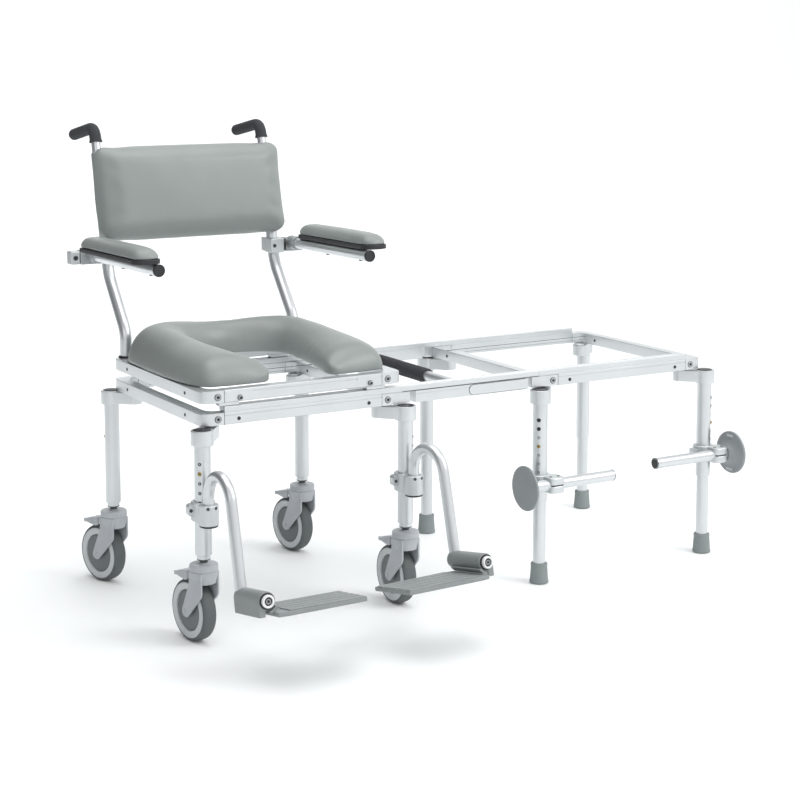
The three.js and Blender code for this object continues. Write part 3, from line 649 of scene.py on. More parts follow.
def caster_stem(x, y, tag):
    """The inner tube's lower end and the dark stem that joins it to the caster."""
    inner, stem = Maker(), Maker()
    inner.rod(13.2, (x, y, CASTER_TOP + 4), (x, y, POST_BOTTOM + 60), 40, 1)
    inner.done(f"chair_leg_inner_{tag}", f"chair_leg_{tag}", ALUMINIUM_Z, "aluminium",
               (f"chair_leg_tube_{tag}",))
    stem.rod(7.6, (x, y, CASTER_TOP - 4), (x, y, CASTER_TOP + 6), 32, 0.5)
    stem.ring(13.4, 9, (x, y, CASTER_TOP + 3), (x, y, CASTER_TOP + 4.6), edge=0.3)
    stem.done(f"chair_leg_stem_{tag}", f"chair_leg_{tag}", DARK, "aluminium")


def leg_holes(prefix, x, y, sx, sy, tag, body):
    """A row of holes with one brass snap button. The tub's top two holes are plugged."""
    button = {"chair": {"front_left": 1}, "tub": {"front_left": 3, "front_right": 3}}[prefix].get(tag, 2)
    facing = Vector((sx, sy, 0)).normalized()
    holes, plugs, buttons = Maker(), Maker(), Maker()
    for k in range(HOLES):
        point = Vector((x, y, HOLE_TOP - k * HOLE_PITCH)) + facing * (POST_RADIUS - 0.6)
        if k == button:
            buttons.lathe([(4, -1), (4, 1), (3.6, 2.1), (2.6, 2.9), (1.2, 3.3), (0.1, 3.4)],
                          aim(point, facing), 24)
        elif prefix == "tub" and k < 2:
            plugs.lathe([(4.4, -1), (4.4, 0.9), (3.8, 1.3), (0.1, 1.4)], aim(point, facing), 24)
        else:
            # Each hole is a dark disc on the tube: painted shade inside the hole.
            holes.lathe([(3.5, -1), (3.5, 0.62), (3.2, 0.7), (0.1, 0.5)], aim(point, facing), 24)
    holes.done(f"{prefix}_leg_holes_{tag}", body, HOLE_GREY if prefix == "tub" else DARK, "aluminium")
    plugs.done(f"{prefix}_leg_plugs_{tag}", body, BLACK, "aluminium")
    buttons.done(f"{prefix}_snap_button_{tag}", body, BRASS, "aluminium")


def tub_foot(tag):
    x, y = leg_axis(f"tub_leg_tube_{tag}")
    tip = Maker()
    tip.lathe([(0.1, 0), (17, 0), (18, 1.2), (20.2, 1.2), (21, 2.4), (21, 5), (20.4, 6.4), (20, 9),
               (19.4, 18), (18.6, 30), (18.1, 37), (18.4, 38.2), (18.6, 42), (18.2, 44),
               (17, 45), (14.6, 45), (14.4, 44),
               (14.4, 10), (0.1, 10)], shift(x, y), 56)
    tip.done(f"tub_rubber_foot_{tag}", f"tub_leg_{tag}", TIP, "rubber", (f"tub_leg_tip_{tag}",))


# ---- casters ---------------------------------------------------------------------------------------
# The crown between the swivel head and the fork's cheeks: height, half width, front and rear reach.
CROWN = ((150, 27.6, 27.6, 24), (143, 26.8, 27, 23), (136, 24.6, 26, 22), (130, 22.9, 25, 20),
         (126.5, 22.2, 24.2, 18), (125.5, 20, 22, 16))


def crown_loop(z, half, front, rear, sides=40):
    loop = []
    for i in range(sides):
        angle = 2 * math.pi * i / sides
        c, w = math.cos(angle), math.sin(angle)
        reach = rear if w > 0 else front
        loop.append((half * math.copysign(abs(c) ** 0.8, c), reach * math.copysign(abs(w) ** 0.9, w), z))
    return loop


def caster(tag):
    place = caster_frame(tag)
    body = f"caster_{tag}"
    fork = Maker(place)
    cheek = ([(-22, 150), (-22.5, 112)] + curve((-22.5, 112), (-22.5, 103), (-15, 96), 4)
             + [(29, 52)] + curve((29, 52), (33, 49), (41, 51), 4) + curve((41, 51), (50, 54), (49, 64), 5)
             + [(25, 116)] + curve((25, 116), (22, 123), (22, 132), 4) + [(22, 150)])
    for x0, x1 in ((-22, -17.5), (17.5, 22)):
        fork.prism(cheek, x0, x1, TO_YZ, 1.4, 2, 35)
    fork.rings([crown_loop(*level) for level in CROWN])
    fork.lathe([(0.1, 147), (27, 147), (28.5, 148.2), (28.5, 150.2), (27.4, 151), (27.4, 151.8),
                (28.5, 152.6), (28.5, 161.5), (27.6, 163.4), (25, 164.2), (10, 164.4), (9, 166.5),
                (6.4, 167), (6.4, 169.4),
                (0.1, CASTER_TOP)])
    fork.rod(5, (-21.5, WHEEL_TRAIL, WHEEL_RADIUS), (21.5, WHEEL_TRAIL, WHEEL_RADIUS), 24)
    fork.done(f"caster_fork_shell_{tag}", body, FORK, "caster_plastic", (f"caster_fork_{tag}",))
    nuts = Maker(place)
    for sx in (-1, 1):
        nuts.screw((sx * 21.8, WHEEL_TRAIL, WHEEL_RADIUS), (sx, 0, 0), 5, 1.2, 0.5)
    nuts.done(f"caster_axle_heads_{tag}", body, FORK, "caster_plastic")
    wheel(tag, place)
    brake_pedal(tag, place)


def brake_pedal(tag, place):
    pedal = Maker(place)
    slope = shift(0, 27, 142) @ turn(-12, "X")
    tongue = arc(9, 49, 12, 0, 90, 6) + arc(-9, 49, 12, 90, 180, 6)
    tongue += [(-21, 22), (-16, 9), (16, 9), (21, 22)]
    pedal.prism(tongue, -4.2, 3, slope, 2)
    pedal.prism(rounded_rectangle(-13, 16, 13, 50, 6, 4), 2.2, 4.0, slope, 0.8)
    wedge = [(33, 127), (44, 124), (76, 128), (84, 134), (34, 144)]
    for x0, x1 in ((-18.6, -15.2), (15.2, 18.6)):
        pedal.prism(wedge, x0, x1, TO_YZ, 1)
    pedal.rod(5, (-16.8, 31, 137), (16.8, 31, 137), 24)
    pedal.prism([(27, 136), (33, 133.5), (45, 133), (45, 139), (30, 142)], -12, 12, TO_YZ, 1)
    pedal.done(f"caster_brake_{tag}", f"pedal_{tag}", FORK, "caster_plastic", (f"caster_pedal_{tag}",))


def wheel(tag, place):
    body = f"wheel_{tag}"
    at = aim((0, WHEEL_TRAIL, WHEEL_RADIUS), (1, 0, 0))
    half, r = WHEEL_WIDTH / 2, WHEEL_RADIUS
    side = [(54, half - 2.2), (56.5, half - 0.6), (59, half - 1.6), (61, half - 4), (62.1, half - 7.5),
            (r, 4)]
    profile = side + [(a, -w) for a, w in reversed(side)]
    Maker(place).lathe(profile, at, 72, closed=True).done(f"tyre_{tag}", body, TYRE, "wheel",
                                                          (f"caster_wheel_{tag}",))
    rim, hub = Maker(place), Maker(place)
    outer = [(41, half - 4.5), (42, half - 1.2), (44, half - 0.2), (53, half), (55.4, half - 0.8),
             (56, half - 3)]
    rim.lathe(outer + [(a, -w) for a, w in reversed(outer)], at, 72, closed=True)
    rim.done(f"rim_{tag}", body, RIM, "wheel")
    disc = [(5.4, half - 1), (12, half - 1), (13, half - 3.2), (17, half - 4), (37, half - 2.6),
            (40, half - 3.4), (41.4, half - 5.5)]
    hub.lathe(disc + [(a, -w) for a, w in reversed(disc)], at, 72, closed=True)
    hub.done(f"hub_{tag}", body, HUB, "wheel")


# ---- seat ------------------------------------------------------------------------------------------
def seat_frame():
    maker = Maker()
    for sx in (-1, 1):
        maker.prism(end_outline(0, sx), SEAT_Z, SEAT_TOP, edge=1.6)
    for x in (62, BASE_WIDTH - 62):
        for y in (4, BASE_DEPTH - RAIL + 4):
            maker.block((x - 22, x + 22), (y, y + RAIL - 8), (TRACK_TOP + 0.3, SEAT_Z + 1))
    maker.done("seat_castings", "seat", ALUMINIUM_Y, "aluminium", ("seat_frame",))
    rails = Maker()
    for rear in (False, True):
        extrusion(rails, [(v, w * 25 / 25.3) for v, w in RAIL_PROFILE], CASTING + GAP,
                  BASE_WIDTH - CASTING - GAP, rear, SEAT_Z)
    rails.done("seat_rails", "seat", ALUMINIUM, "aluminium")
    bolts, caps, knobs = Bolts(), Maker(), Bolts()
    for y, out in ((0, -1), (BASE_DEPTH, 1)):
        for x in (BOLT_X, BASE_WIDTH - BOLT_X):
            bolts.add((x, y, 490.5), (0, out, 0), *CORNER_BOLT)
        for x in (84, BASE_WIDTH - 78):
            knobs.add((x, y, 486), (0, out, 0), *KNOB)
    for x, out in ((0, -1), (BASE_WIDTH, 1)):
        for y in SIDE_SCREW_Y:
            caps.screw((x, y, 490), (out, 0, 0), *SIDE_SCREW)
    bolts.done("seat_corner_bolts", "seat", STEEL)
    caps.done("seat_side_screws", "seat", BLACK, "aluminium")
    knobs.done("seat_front_screws", "seat", GREY_CAST)
    seams("seat_seams", 0, SEAT_Z, SEAT_TOP, "seat")
    plates = Maker()
    for x0, x1 in ((54, 109), (349, 402)):
        plates.block((x0, x1), (-0.35, 4), (SEAT_Z + 1.2, SEAT_TOP - 1.2), 0.3)
    plates.done("seat_end_plates", "seat", ALUMINIUM, "aluminium")
    sockets = Maker()
    for x in CANE_X.values():
        sockets.ring(16.5, 13.1, (x, 450, SEAT_TOP - 1), (x, 450, SEAT_TOP + 4), edge=1)
    sockets.done("cane_sockets", "seat", BLACK, "aluminium")


def seat_outline():
    """Horseshoe with its opening to the front, drawn about the seat's middle line. Returns (outer, inner)."""
    mid, front, far = BASE_WIDTH / 2, 27, BASE_DEPTH
    edge = 2 * mid
    right = [(mid, far - 18), (mid + 70, far - 18)]
    right += curve((mid + 70, far - 18), (edge - 8, far - 23), (edge - 1, far - 95), 10)
    right += [(edge, 290), (edge, 180)]
    right += curve((edge, 180), (edge - 1, front + 10), (edge - 42, front + 4), 10)
    outer = [(edge - x, y) for x, y in reversed(right[1:])] + right
    outer = [(mid - 84, front)] + outer + [(mid + 92, front)]
    inner = curve((mid + 92, front), (mid + 70, front + 2), (mid + 74, front + 32), 6)
    inner += cubic((mid + 74, front + 32), (mid + 98, 160), (mid + 110, 240), (mid + 108, 310), 8)
    inner += cubic((mid + 108, 310), (mid + 104, 396), (mid - 108, 396), (mid - 100, 310), 14)
    inner += cubic((mid - 100, 310), (mid - 92, 240), (mid - 76, 160), (mid - 58, front + 32), 8)
    inner += curve((mid - 58, front + 32), (mid - 54, front + 2), (mid - 84, front), 6)
    return outer, inner[:-1]


def distance_to(points, line, closed=False):
    """Shortest distance from each of points to a polyline."""
    line = np.array(line, float)
    if closed:
        line = np.vstack([line, line[:1]])
    best = np.full(len(points), 1e9)
    for a, b in zip(line, line[1:]):
        d = b - a
        t = np.clip(((points - a) @ d) / max(d @ d, 1e-9), 0, 1)
        best = np.minimum(best, np.hypot(*(points - a - t[:, None] * d).T))
    return best


def roll(distance, radius):
    """0 at an edge, rising to 1 on a quarter circle."""
    t = np.clip(distance / radius, 0, 1)
    return np.sqrt(np.maximum(0, 1 - (1 - t) ** 2))


def soft_body(name, outline, thickness, place, shape, voxel, base=0):
    """A remeshed prism whose points shape() moves. Coordinates given to shape are the frame's millimetres."""
    part = bmesh.new()
    low = [part.verts.new((x, y, base)) for x, y in outline]
    high = [part.verts.new((x, y, base + thickness)) for x, y in outline]
    part.faces.new(low)
    part.faces.new(high)
    for i in range(len(outline)):
        j = (i + 1) % len(outline)
        part.faces.new((low[i], low[j], high[j], high[i]))
    bmesh.ops.recalc_face_normals(part, faces=part.faces)
    bmesh.ops.triangulate(part, faces=part.faces)
    bmesh.ops.scale(part, vec=(MM, MM, MM), verts=part.verts)
    mesh = bpy.data.meshes.new(name)
    part.to_mesh(mesh)
    part.free()
    obj = bpy.data.objects.new(name, mesh)
    bpy.context.scene.collection.objects.link(obj)
    remesh = obj.modifiers.new("remesh", "REMESH")
    remesh.mode, remesh.voxel_size = "VOXEL", voxel * MM
    bake_modifiers(obj)
    points = read_points(obj) / MM
    write_points(obj, shape(points) * MM)
    relaxed = obj.modifiers.new("relax", "SMOOTH")
    relaxed.factor, relaxed.iterations = 0.5, 3
    bake_modifiers(obj)
    obj.data.transform(place @ Matrix.Scale(1 / MM, 4))
    return obj


def read_points(obj):
    points = np.empty(len(obj.data.vertices) * 3)
    obj.data.vertices.foreach_get("co", points)
    return points.reshape(-1, 3)


def write_points(obj, points):
    obj.data.vertices.foreach_set("co", points.ravel())
    obj.data.update()


def bake_modifiers(obj):
    bpy.context.view_layer.update()
    graph = bpy.context.evaluated_depsgraph_get()
    mesh = bpy.data.meshes.new_from_object(obj.evaluated_get(graph))
    obj.modifiers.clear()
    old, obj.data = obj.data, mesh
    bpy.data.meshes.remove(old)


def inflate(obj, outwards, limit, pressure=4.0):
    """Swells the piece as stuffed cloth, by limit at most. Points that face its support stay."""
    normals = np.empty(len(obj.data.vertices) * 3)
    obj.data.vertices.foreach_get("normal", normals)
    held = np.nonzero(normals.reshape(-1, 3) @ np.array(outwards) < -0.85)[0]
    group = obj.vertex_groups.new(name="held")
    group.add([int(i) for i in held], 1.0, "REPLACE")
    start = read_points(obj)
    cloth = obj.modifiers.new("cloth", "CLOTH")
    settings = cloth.settings
    settings.quality = 4
    settings.use_pressure = True
    settings.uniform_pressure_force = pressure
    settings.vertex_group_mass = "held"
    settings.effector_weights.gravity = 0
    cloth.point_cache.frame_start, cloth.point_cache.frame_end = 1, CLOTH_FRAMES
    scene = bpy.context.scene
    for number in range(1, CLOTH_FRAMES + 1):
        scene.frame_set(number)
    bake_modifiers(obj)
    moved = read_points(obj) - start
    length = np.maximum(np.linalg.norm(moved, axis=1), 1e-9)
    capped = moved * (np.minimum(length, limit * MM) / length)[:, None]
    write_points(obj, start + capped)
    scene.frame_set(1)
    obj.vertex_groups.clear()


def soft_finish(obj, body, replaces):
    obj.data.materials.clear()
    obj.data.materials.append(VINYL)
    obj.data.shade_smooth()
    smooth = obj.modifiers.new("relax", "SMOOTH")
    smooth.factor, smooth.iterations = 0.5, 12
    fine = obj.modifiers.new("fine", "SUBSURF")
    fine.levels = fine.render_levels = 1
    bake_modifiers(obj)
    obj.data.shade_smooth()
    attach(obj, body)
    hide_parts(*replaces)


def seat_cushion():
    outer, inner = seat_outline()

    def shape(points):
        xy = points[:, :2]
        out = distance_to(xy, outer)
        into = distance_to(xy, inner)
        rise = 0.78 + 0.22 * np.clip((points[:, 1] - 40) / 260, 0, 1)
        sweep = 1 - ((points[:, 0] - BASE_WIDTH * 0.43) / (BASE_WIDTH / 2)) ** 2
        rise += 0.36 * np.clip(sweep, 0, 1) * np.clip((points[:, 1] - 220) / 160, 0, 1)
        height = roll(out, 58) * (0.26 + 0.74 * roll(into, 84)) * rise
        level = points[:, 2] / SEAT_HEIGHT
        shaped = points.copy()
        shaped[:, 2] = level * (9 + (SEAT_HEIGHT - 9) * height)
        return shaped
    obj = soft_body("seat_pad", outer + inner, SEAT_HEIGHT, LAYOUT @ shift(0, 0, SEAT_TOP + 0.6), shape, 5)
    inflate(obj, (0, 0, 1), 5)
    soft_finish(obj, "seat", ("seat_cushion",))


# ---- backrest --------------------------------------------------------------------------------------
def cane_y(z):
    return CANE_KNEE[0] + (z - CANE_KNEE[1]) * math.tan(CANE_LEAN)


def backrest():
    frame_tubes, grips, clamps, screws = Maker(), Maker(), Maker(), Maker()
    shoulder, top, grip_end = 935, 995, (740, 973.5)
    for side, x in CANE_X.items():
        at = shift(x, 0, 0)
        main = bent([(450, SEAT_TOP + GAP), (450, 558, 60), (*CANE_KNEE, 90),
                     (cane_y(shoulder), shoulder)], 12)
        frame_tubes.sweep(main, CANE_RADIUS, 40, at)
        upper = bent([(cane_y(shoulder - 20), shoulder - 20), (cane_y(top), top, 30), grip_end], 12)
        frame_tubes.sweep(upper, 10, 32, at)
        collar = shift(x, cane_y(shoulder), shoulder) @ turn(-12.5, "X") @ shift(0, 0, -1)
        frame_tubes.lathe([(10, 0), (13, 0), (13, 2), (11.4, 5), (10, 6)], collar, 40, closed=True)
        hold = bent([(cane_y(top - 33), top - 33), (cane_y(top), top, 30), grip_end], 14)
        radii = [14.4, 13.4] + [13] * (len(hold) - 2)
        grips.sweep(hold[:1] + [tuple(Vector(hold[0]).lerp(Vector(hold[1]), 0.5))] + hold[1:],
                    [14.6] + radii, 40, at)
        last = Vector((0, hold[-1][0] - hold[-2][0], hold[-1][1] - hold[-2][1])).normalized()
        dome = [(13, -1), (12.8, 2), (11.8, 5), (9.6, 8), (6, 10), (2, 10.8), (0.1, 10.9)]
        grips.lathe(dome, aim(Vector((x, *hold[-1])), last), 40)
        y, z = ARM_AXIS
        clamps.block((x - 17, x + 17), (y - 19, y + 14), (z - 17, z + 17), 2.5, steps=3)
        clamps.block((x - 15, x + 15), (y + 14.6, y + 37.5), (z - 16, z + 16), 2.5, steps=3)
        sx = SIDES[side]
        for dy in (24, -8):
            screws.screw((x + sx * (15 if dy > 0 else 17), y + dy, z), (sx, 0, 0), *CLAMP_SCREW)
        screws.screw((x - sx * 8, y - 19, z), (0, -1, 0), *CLAMP_SCREW)
    for z in (800, 910):
        frame_tubes.rod(9, (CANE_X["left"], cane_y(z), z), (CANE_X["right"], cane_y(z), z), 32)
    frame_tubes.done("back_tubes", "seat", ALUMINIUM_Z, "aluminium", ("back_frame",))
    grips.done("push_grips", "seat", FOAM, "foam", sharp=60)
    clamps.done("arm_clamps", "seat", CAST, "aluminium")
    screws.done("arm_clamp_screws", "seat", DARK, "aluminium")


def back_cushion():
    width, height, depth = 454, 214, 50
    place = (LAYOUT @ shift(229.5, cane_y(844), 844.5) @ turn(90 - 12.5, "X")
             @ shift(0, 0, CANE_RADIUS + 1.5))
    outline = rounded_rectangle(-width / 2, -height / 2, width / 2, height / 2, 32, 8)

    def shape(points):
        level = points[:, 2] / depth
        across, up = (np.clip(size / 2 - np.abs(points[:, i]), 0, None)
                      for i, size in enumerate((width, height)))
        crown = (1 - (points[:, 0] / (width / 2)) ** 2) * (1 - (points[:, 1] / (height / 2)) ** 2)
        front = depth - 5 - 30 * (1 - roll(across, 44) * roll(up, 40)) + 6 * np.clip(crown, 0, 1)
        back = 9 * (1 - roll(across, 12) * roll(up, 12))
        shaped = points.copy()
        shaped[:, 2] = back + level * (front - back)
        return shaped
    obj = soft_body("back_pad", outline, depth, place, shape, 5)
    normal = (place.to_3x3() @ Vector((0, 0, 1))).normalized()
    inflate(obj, normal, 4)
    soft_finish(obj, "seat", ("back_cushion",))


# ---- armrests --------------------------------------------------------------------------------------
def armrest(side):
    sx, body = SIDES[side], f"armrest_{side}"
    place = LAYOUT @ shift(0, *ARM_AXIS) @ Matrix.Rotation(-ARM_TILT, 4, "X")
    cane = CANE_X[side]
    x = cane + sx * ARM_OUT
    tube, caps, washers = Maker(place), Maker(place), Maker(place)
    tube.rod(TUBE_RADIUS - 0.3, (x, -ARM_RUN + 2, 5), (x, -4, 5), 40)
    casting, outer_end, screws = Maker(place), Maker(place), Bolts(place)
    near, far = sorted((cane + sx * 23, cane + sx * 69))
    casting.block((near, far), (-15, 15), (-15.5, 15.5), 4, steps=4)
    casting.ring(15.6, 12.3, (x, -42, 5), (x, -8, 5), edge=1.5)
    casting.done(f"arm_casting_{side}", body, GREY_CAST, "aluminium")
    near, far = sorted((cane + sx * 69.6, cane + sx * 90.5))
    outer_end.block((near, far), (-14, 14), (-14.5, 14.5), 3, steps=3)
    outer_end.done(f"arm_outer_end_{side}", body, CAST, "aluminium")
    screws.add((cane + sx * 80, -14, 0), (0, -1, 0), 4.6, 1, 0.7)
    screws.done(f"arm_end_screw_{side}", body, DARK)
    tube.done(f"arm_tube_{side}", body, ALUMINIUM_Y, "aluminium", (f"arm_{side}",))
    washers.rod(17, (cane + sx * 18, 0, 0), (cane + sx * 22.6, 0, 0), edge=1)
    washers.done(f"arm_washer_{side}", body, BLACK, "aluminium")
    caps.lathe([(12.2, 0), (13, 0.6), (13, 3), (12, 4.4), (10.8, 4.4), (10.4, 3.6), (0.1, 3.6)],
               aim((x, -ARM_RUN + 2.2, 5), (0, -1, 0)), 40)
    for y in (-ARM_RUN + 40, -ARM_RUN + 190):
        caps.screw((x, y, 5 - TUBE_RADIUS + 0.8), (0, 0, -1), 4, 2.4, 0.5)
    caps.done(f"arm_caps_{side}", body, BLACK, "aluminium")
    arm_pad(side, sx, x, body, place)


def pad_outline(middle, y0, y1, half, rear):
    """Pad seen from above: rounded at the front, squarer at the rear."""
    front = arc(middle + half - 25, y0 + 25, 25, -90, 0, 8)
    back = arc(middle + half - rear, y1 - rear, rear, 0, 90, 6)
    right = front + back
    return right + [(2 * middle - x, y) for x, y in reversed(right)]


def arm_pad(side, sx, tube_x, body, place):
    middle = tube_x + sx * 20
    y0, y1 = -ARM_RUN - 1, -ARM_RUN + 323
    bottom = 5 + TUBE_RADIUS + 0.6
    strip = Maker(place)
    strip.prism(pad_outline(middle, y0, y1, 31, 14), bottom, bottom + 9.5, edge=1.6, steps=3, sharp=50)
    strip.done(f"arm_pad_base_{side}", body, BLACK, "vinyl")
    outline = pad_outline(middle, y0 + 2.5, y1 - 2, 29, 13)
    thick = 23

    def shape(points):
        edge = distance_to(points[:, :2], outline, True)
        nose = np.clip((points[:, 1] - y0) / 60, 0, 1)
        top = thick * (0.30 + 0.70 * roll(edge, 17)) * (0.72 + 0.28 * np.sin(nose * math.pi / 2))
        shaped = points.copy()
        shaped[:, 2] = (points[:, 2] - bottom - 9.7) / thick * top + bottom + 9.7
        return shaped
    obj = soft_body(f"arm_rest_pad_{side}", outline, thick, place, shape, 4, bottom + 9.7)
    inflate(obj, (0, 0, 1), 2)
    soft_finish(obj, body, (f"arm_pad_{side}",))


# ---- footrests -------------------------------------------------------------------------------------
def footrest_clamp(side):
    x, y = leg_axis(f"chair_leg_tube_front_{side}")
    socket = to_layout(JOINTS[f"hanger_swing_{side}"]["pos_m"])
    toward = Vector((socket.x - x, socket.y - y, 0))
    reach = toward.length
    heading = math.degrees(math.atan2(toward.y, toward.x)) + 90
    place = LAYOUT @ shift(x, y) @ turn(heading)
    low, high = SOCKET_Z
    clamp = Maker(place)
    clamp.ring(24, POST_RADIUS + 0.4, (0, 0, low + 1), (0, 0, high - 2), edge=1.4)
    clamp.ring(19.5, HANGER_RADIUS + 0.5, (0, -reach, low), (0, -reach, high), edge=1.4)
    clamp.prism([(-13, -19), (-12, -27), (12, -27), (13, -19)], low + 1.5, high - 2.5, edge=1)
    middle = (low + high) / 2 + 3
    clamp.prism(rounded_rectangle(-8.5, -12, 8.5, 12, 7.5, 6), -9.5, 9.5,
                shift(-24.5, 0, middle) @ TO_XZ, edge=1.6)
    clamp.done(f"footrest_clamp_body_{side}", "chair_base", CAST, "aluminium",
               (f"footrest_clamp_{side}",))
    bolts, caps = Maker(place), Maker(place)
    bolts.screw((-27, -9.4, middle), (0, -1, 0), 3.4, 1, 0.55)
    for angle in (250, 300):
        direction = Vector((math.cos(math.radians(angle)), math.sin(math.radians(angle)), 0))
        bolts.lathe([(3.4, -1), (3.4, 0.5), (2.9, 0.8), (1.6, 0.5), (0.1, 0.4)],
                    aim(Vector((0, -reach, high - 5)) + direction * 19.3, direction), 24)
    bolts.done(f"footrest_clamp_screws_{side}", "chair_base", DARK, "aluminium")
    caps.lathe([(0.1, low - 4), (15, low - 4), (18.2, low - 2.6), (18.8, low - 0.2), (18.8, low + 0.4),
                (0.1, low + 0.4)], shift(0, -reach))
    caps.done(f"footrest_socket_cap_{side}", "chair_base", BLACK, "aluminium")


def hanger(side):
    sx = SIDES[side]
    swing, hinge = swing_frames(side)
    body = f"hanger_{side}"
    sweep = math.pi - HANGER_SLOPE
    path = [(0, SOCKET_Z[0] + 2), (0, BEND_Z - 1)]
    steps = 28
    for i in range(steps + 1):
        t = sweep * i / steps
        path.append((-BEND_RADIUS * (1 - math.cos(t)), BEND_Z + BEND_RADIUS * math.sin(t)))
    path.append((-HANGER_REACH, HINGE_Z))
    tube = Maker(swing).sweep(path, HANGER_RADIUS, 40)
    tube.done(f"hanger_tube_{side}", body, ALUMINIUM_Z, "aluminium", (f"footrest_hanger_{side}",))
    r = BLOCK_RADIUS
    outline = [(sx * r, -BLOCK_DROP), (sx * 4, -BLOCK_DROP), (sx * 4, -17)]
    for i in range(19):
        angle = math.radians(-76 + 256 * i / 18)
        outline.append((-sx * r * math.cos(angle), r * math.sin(angle)))
    block = Maker(hinge)
    block.prism(outline, 0, BLOCK_LENGTH, shift(0, -BLOCK_BACK, 0) @ TO_XZ_BACK, 1.8, 3, 30)
    block.done(f"hinge_block_{side}", body, PLATE, "plate_plastic")
    front = -BLOCK_BACK - BLOCK_LENGTH
    ring, washer, bolt = Maker(hinge), Maker(hinge), Bolts(hinge)
    # The wide black disc behind the white washer is a painted shadow round the raised washer.
    ring.rod(15.4, (0, front + 1, 0), (0, front - 1.2, 0), edge=0.5)
    ring.rod(9, (0, front, 0), (0, front - 4.6, 0), edge=0.5)
    ring.done(f"hinge_shadow_ring_{side}", body, BLACK, "plate_plastic")
    washer.lathe([(8.2, 0), (12, 0), (12.4, 1), (12.4, 5.2), (11.6, 6.4), (9, 6.8), (8.2, 6)],
                 aim((0, front - 1.7, 0), (0, -1, 0)), 48, closed=True)
    washer.done(f"hinge_washer_{side}", body, WHITE, "plate_plastic")
    bolt.add((0, front - 4.6, 0), (0, -1, 0), 5.6, 2.6, 0.5)
    bolt.done(f"hinge_bolt_{side}", body, STEEL, "plate_plastic")
    footplate(side, sx, hinge)


def footplate(side, sx, hinge):
    inner, outer, steps = BLOCK_RADIUS + 0.6, 23.5, 10
    low = [(-sx * inner * math.cos(a), inner * math.sin(a))
           for a in (math.radians(-82 + 50 * i / steps) for i in range(steps + 1))]
    high = [(-sx * outer * math.cos(a), outer * math.sin(a))
            for a in (math.radians(-84 + 54 * i / steps) for i in range(steps + 1))]
    plate = Maker(hinge)
    plate.prism(low + high[::-1], 0, 98, shift(0, -11, 0) @ TO_XZ_BACK, 0.8)
    slab = [(11, -8), (11, -126), (30, -130), (199, -122), (199, -2), (30, -2)]
    slab = [(-sx * x, y) for x, y in slab]
    plate.prism(slab, -29.5, -21.2, edge=1.4)
    rows, width = 5, 118
    for i in range(rows):
        y = -7 - width / rows * (i + 0.5)
        half = width / rows / 2 - 2
        ridge = [(36, y - half), (36, y + half), (197.5, y + half * 1.02), (197.5, y - half * 0.94)]
        plate.prism([(-sx * a, b) for a, b in ridge], -22, -19.3, edge=0.9)
    plate.done(f"footplate_tread_{side}", f"footrest_{side}", PLATE, "plate_plastic", (f"footplate_{side}",))


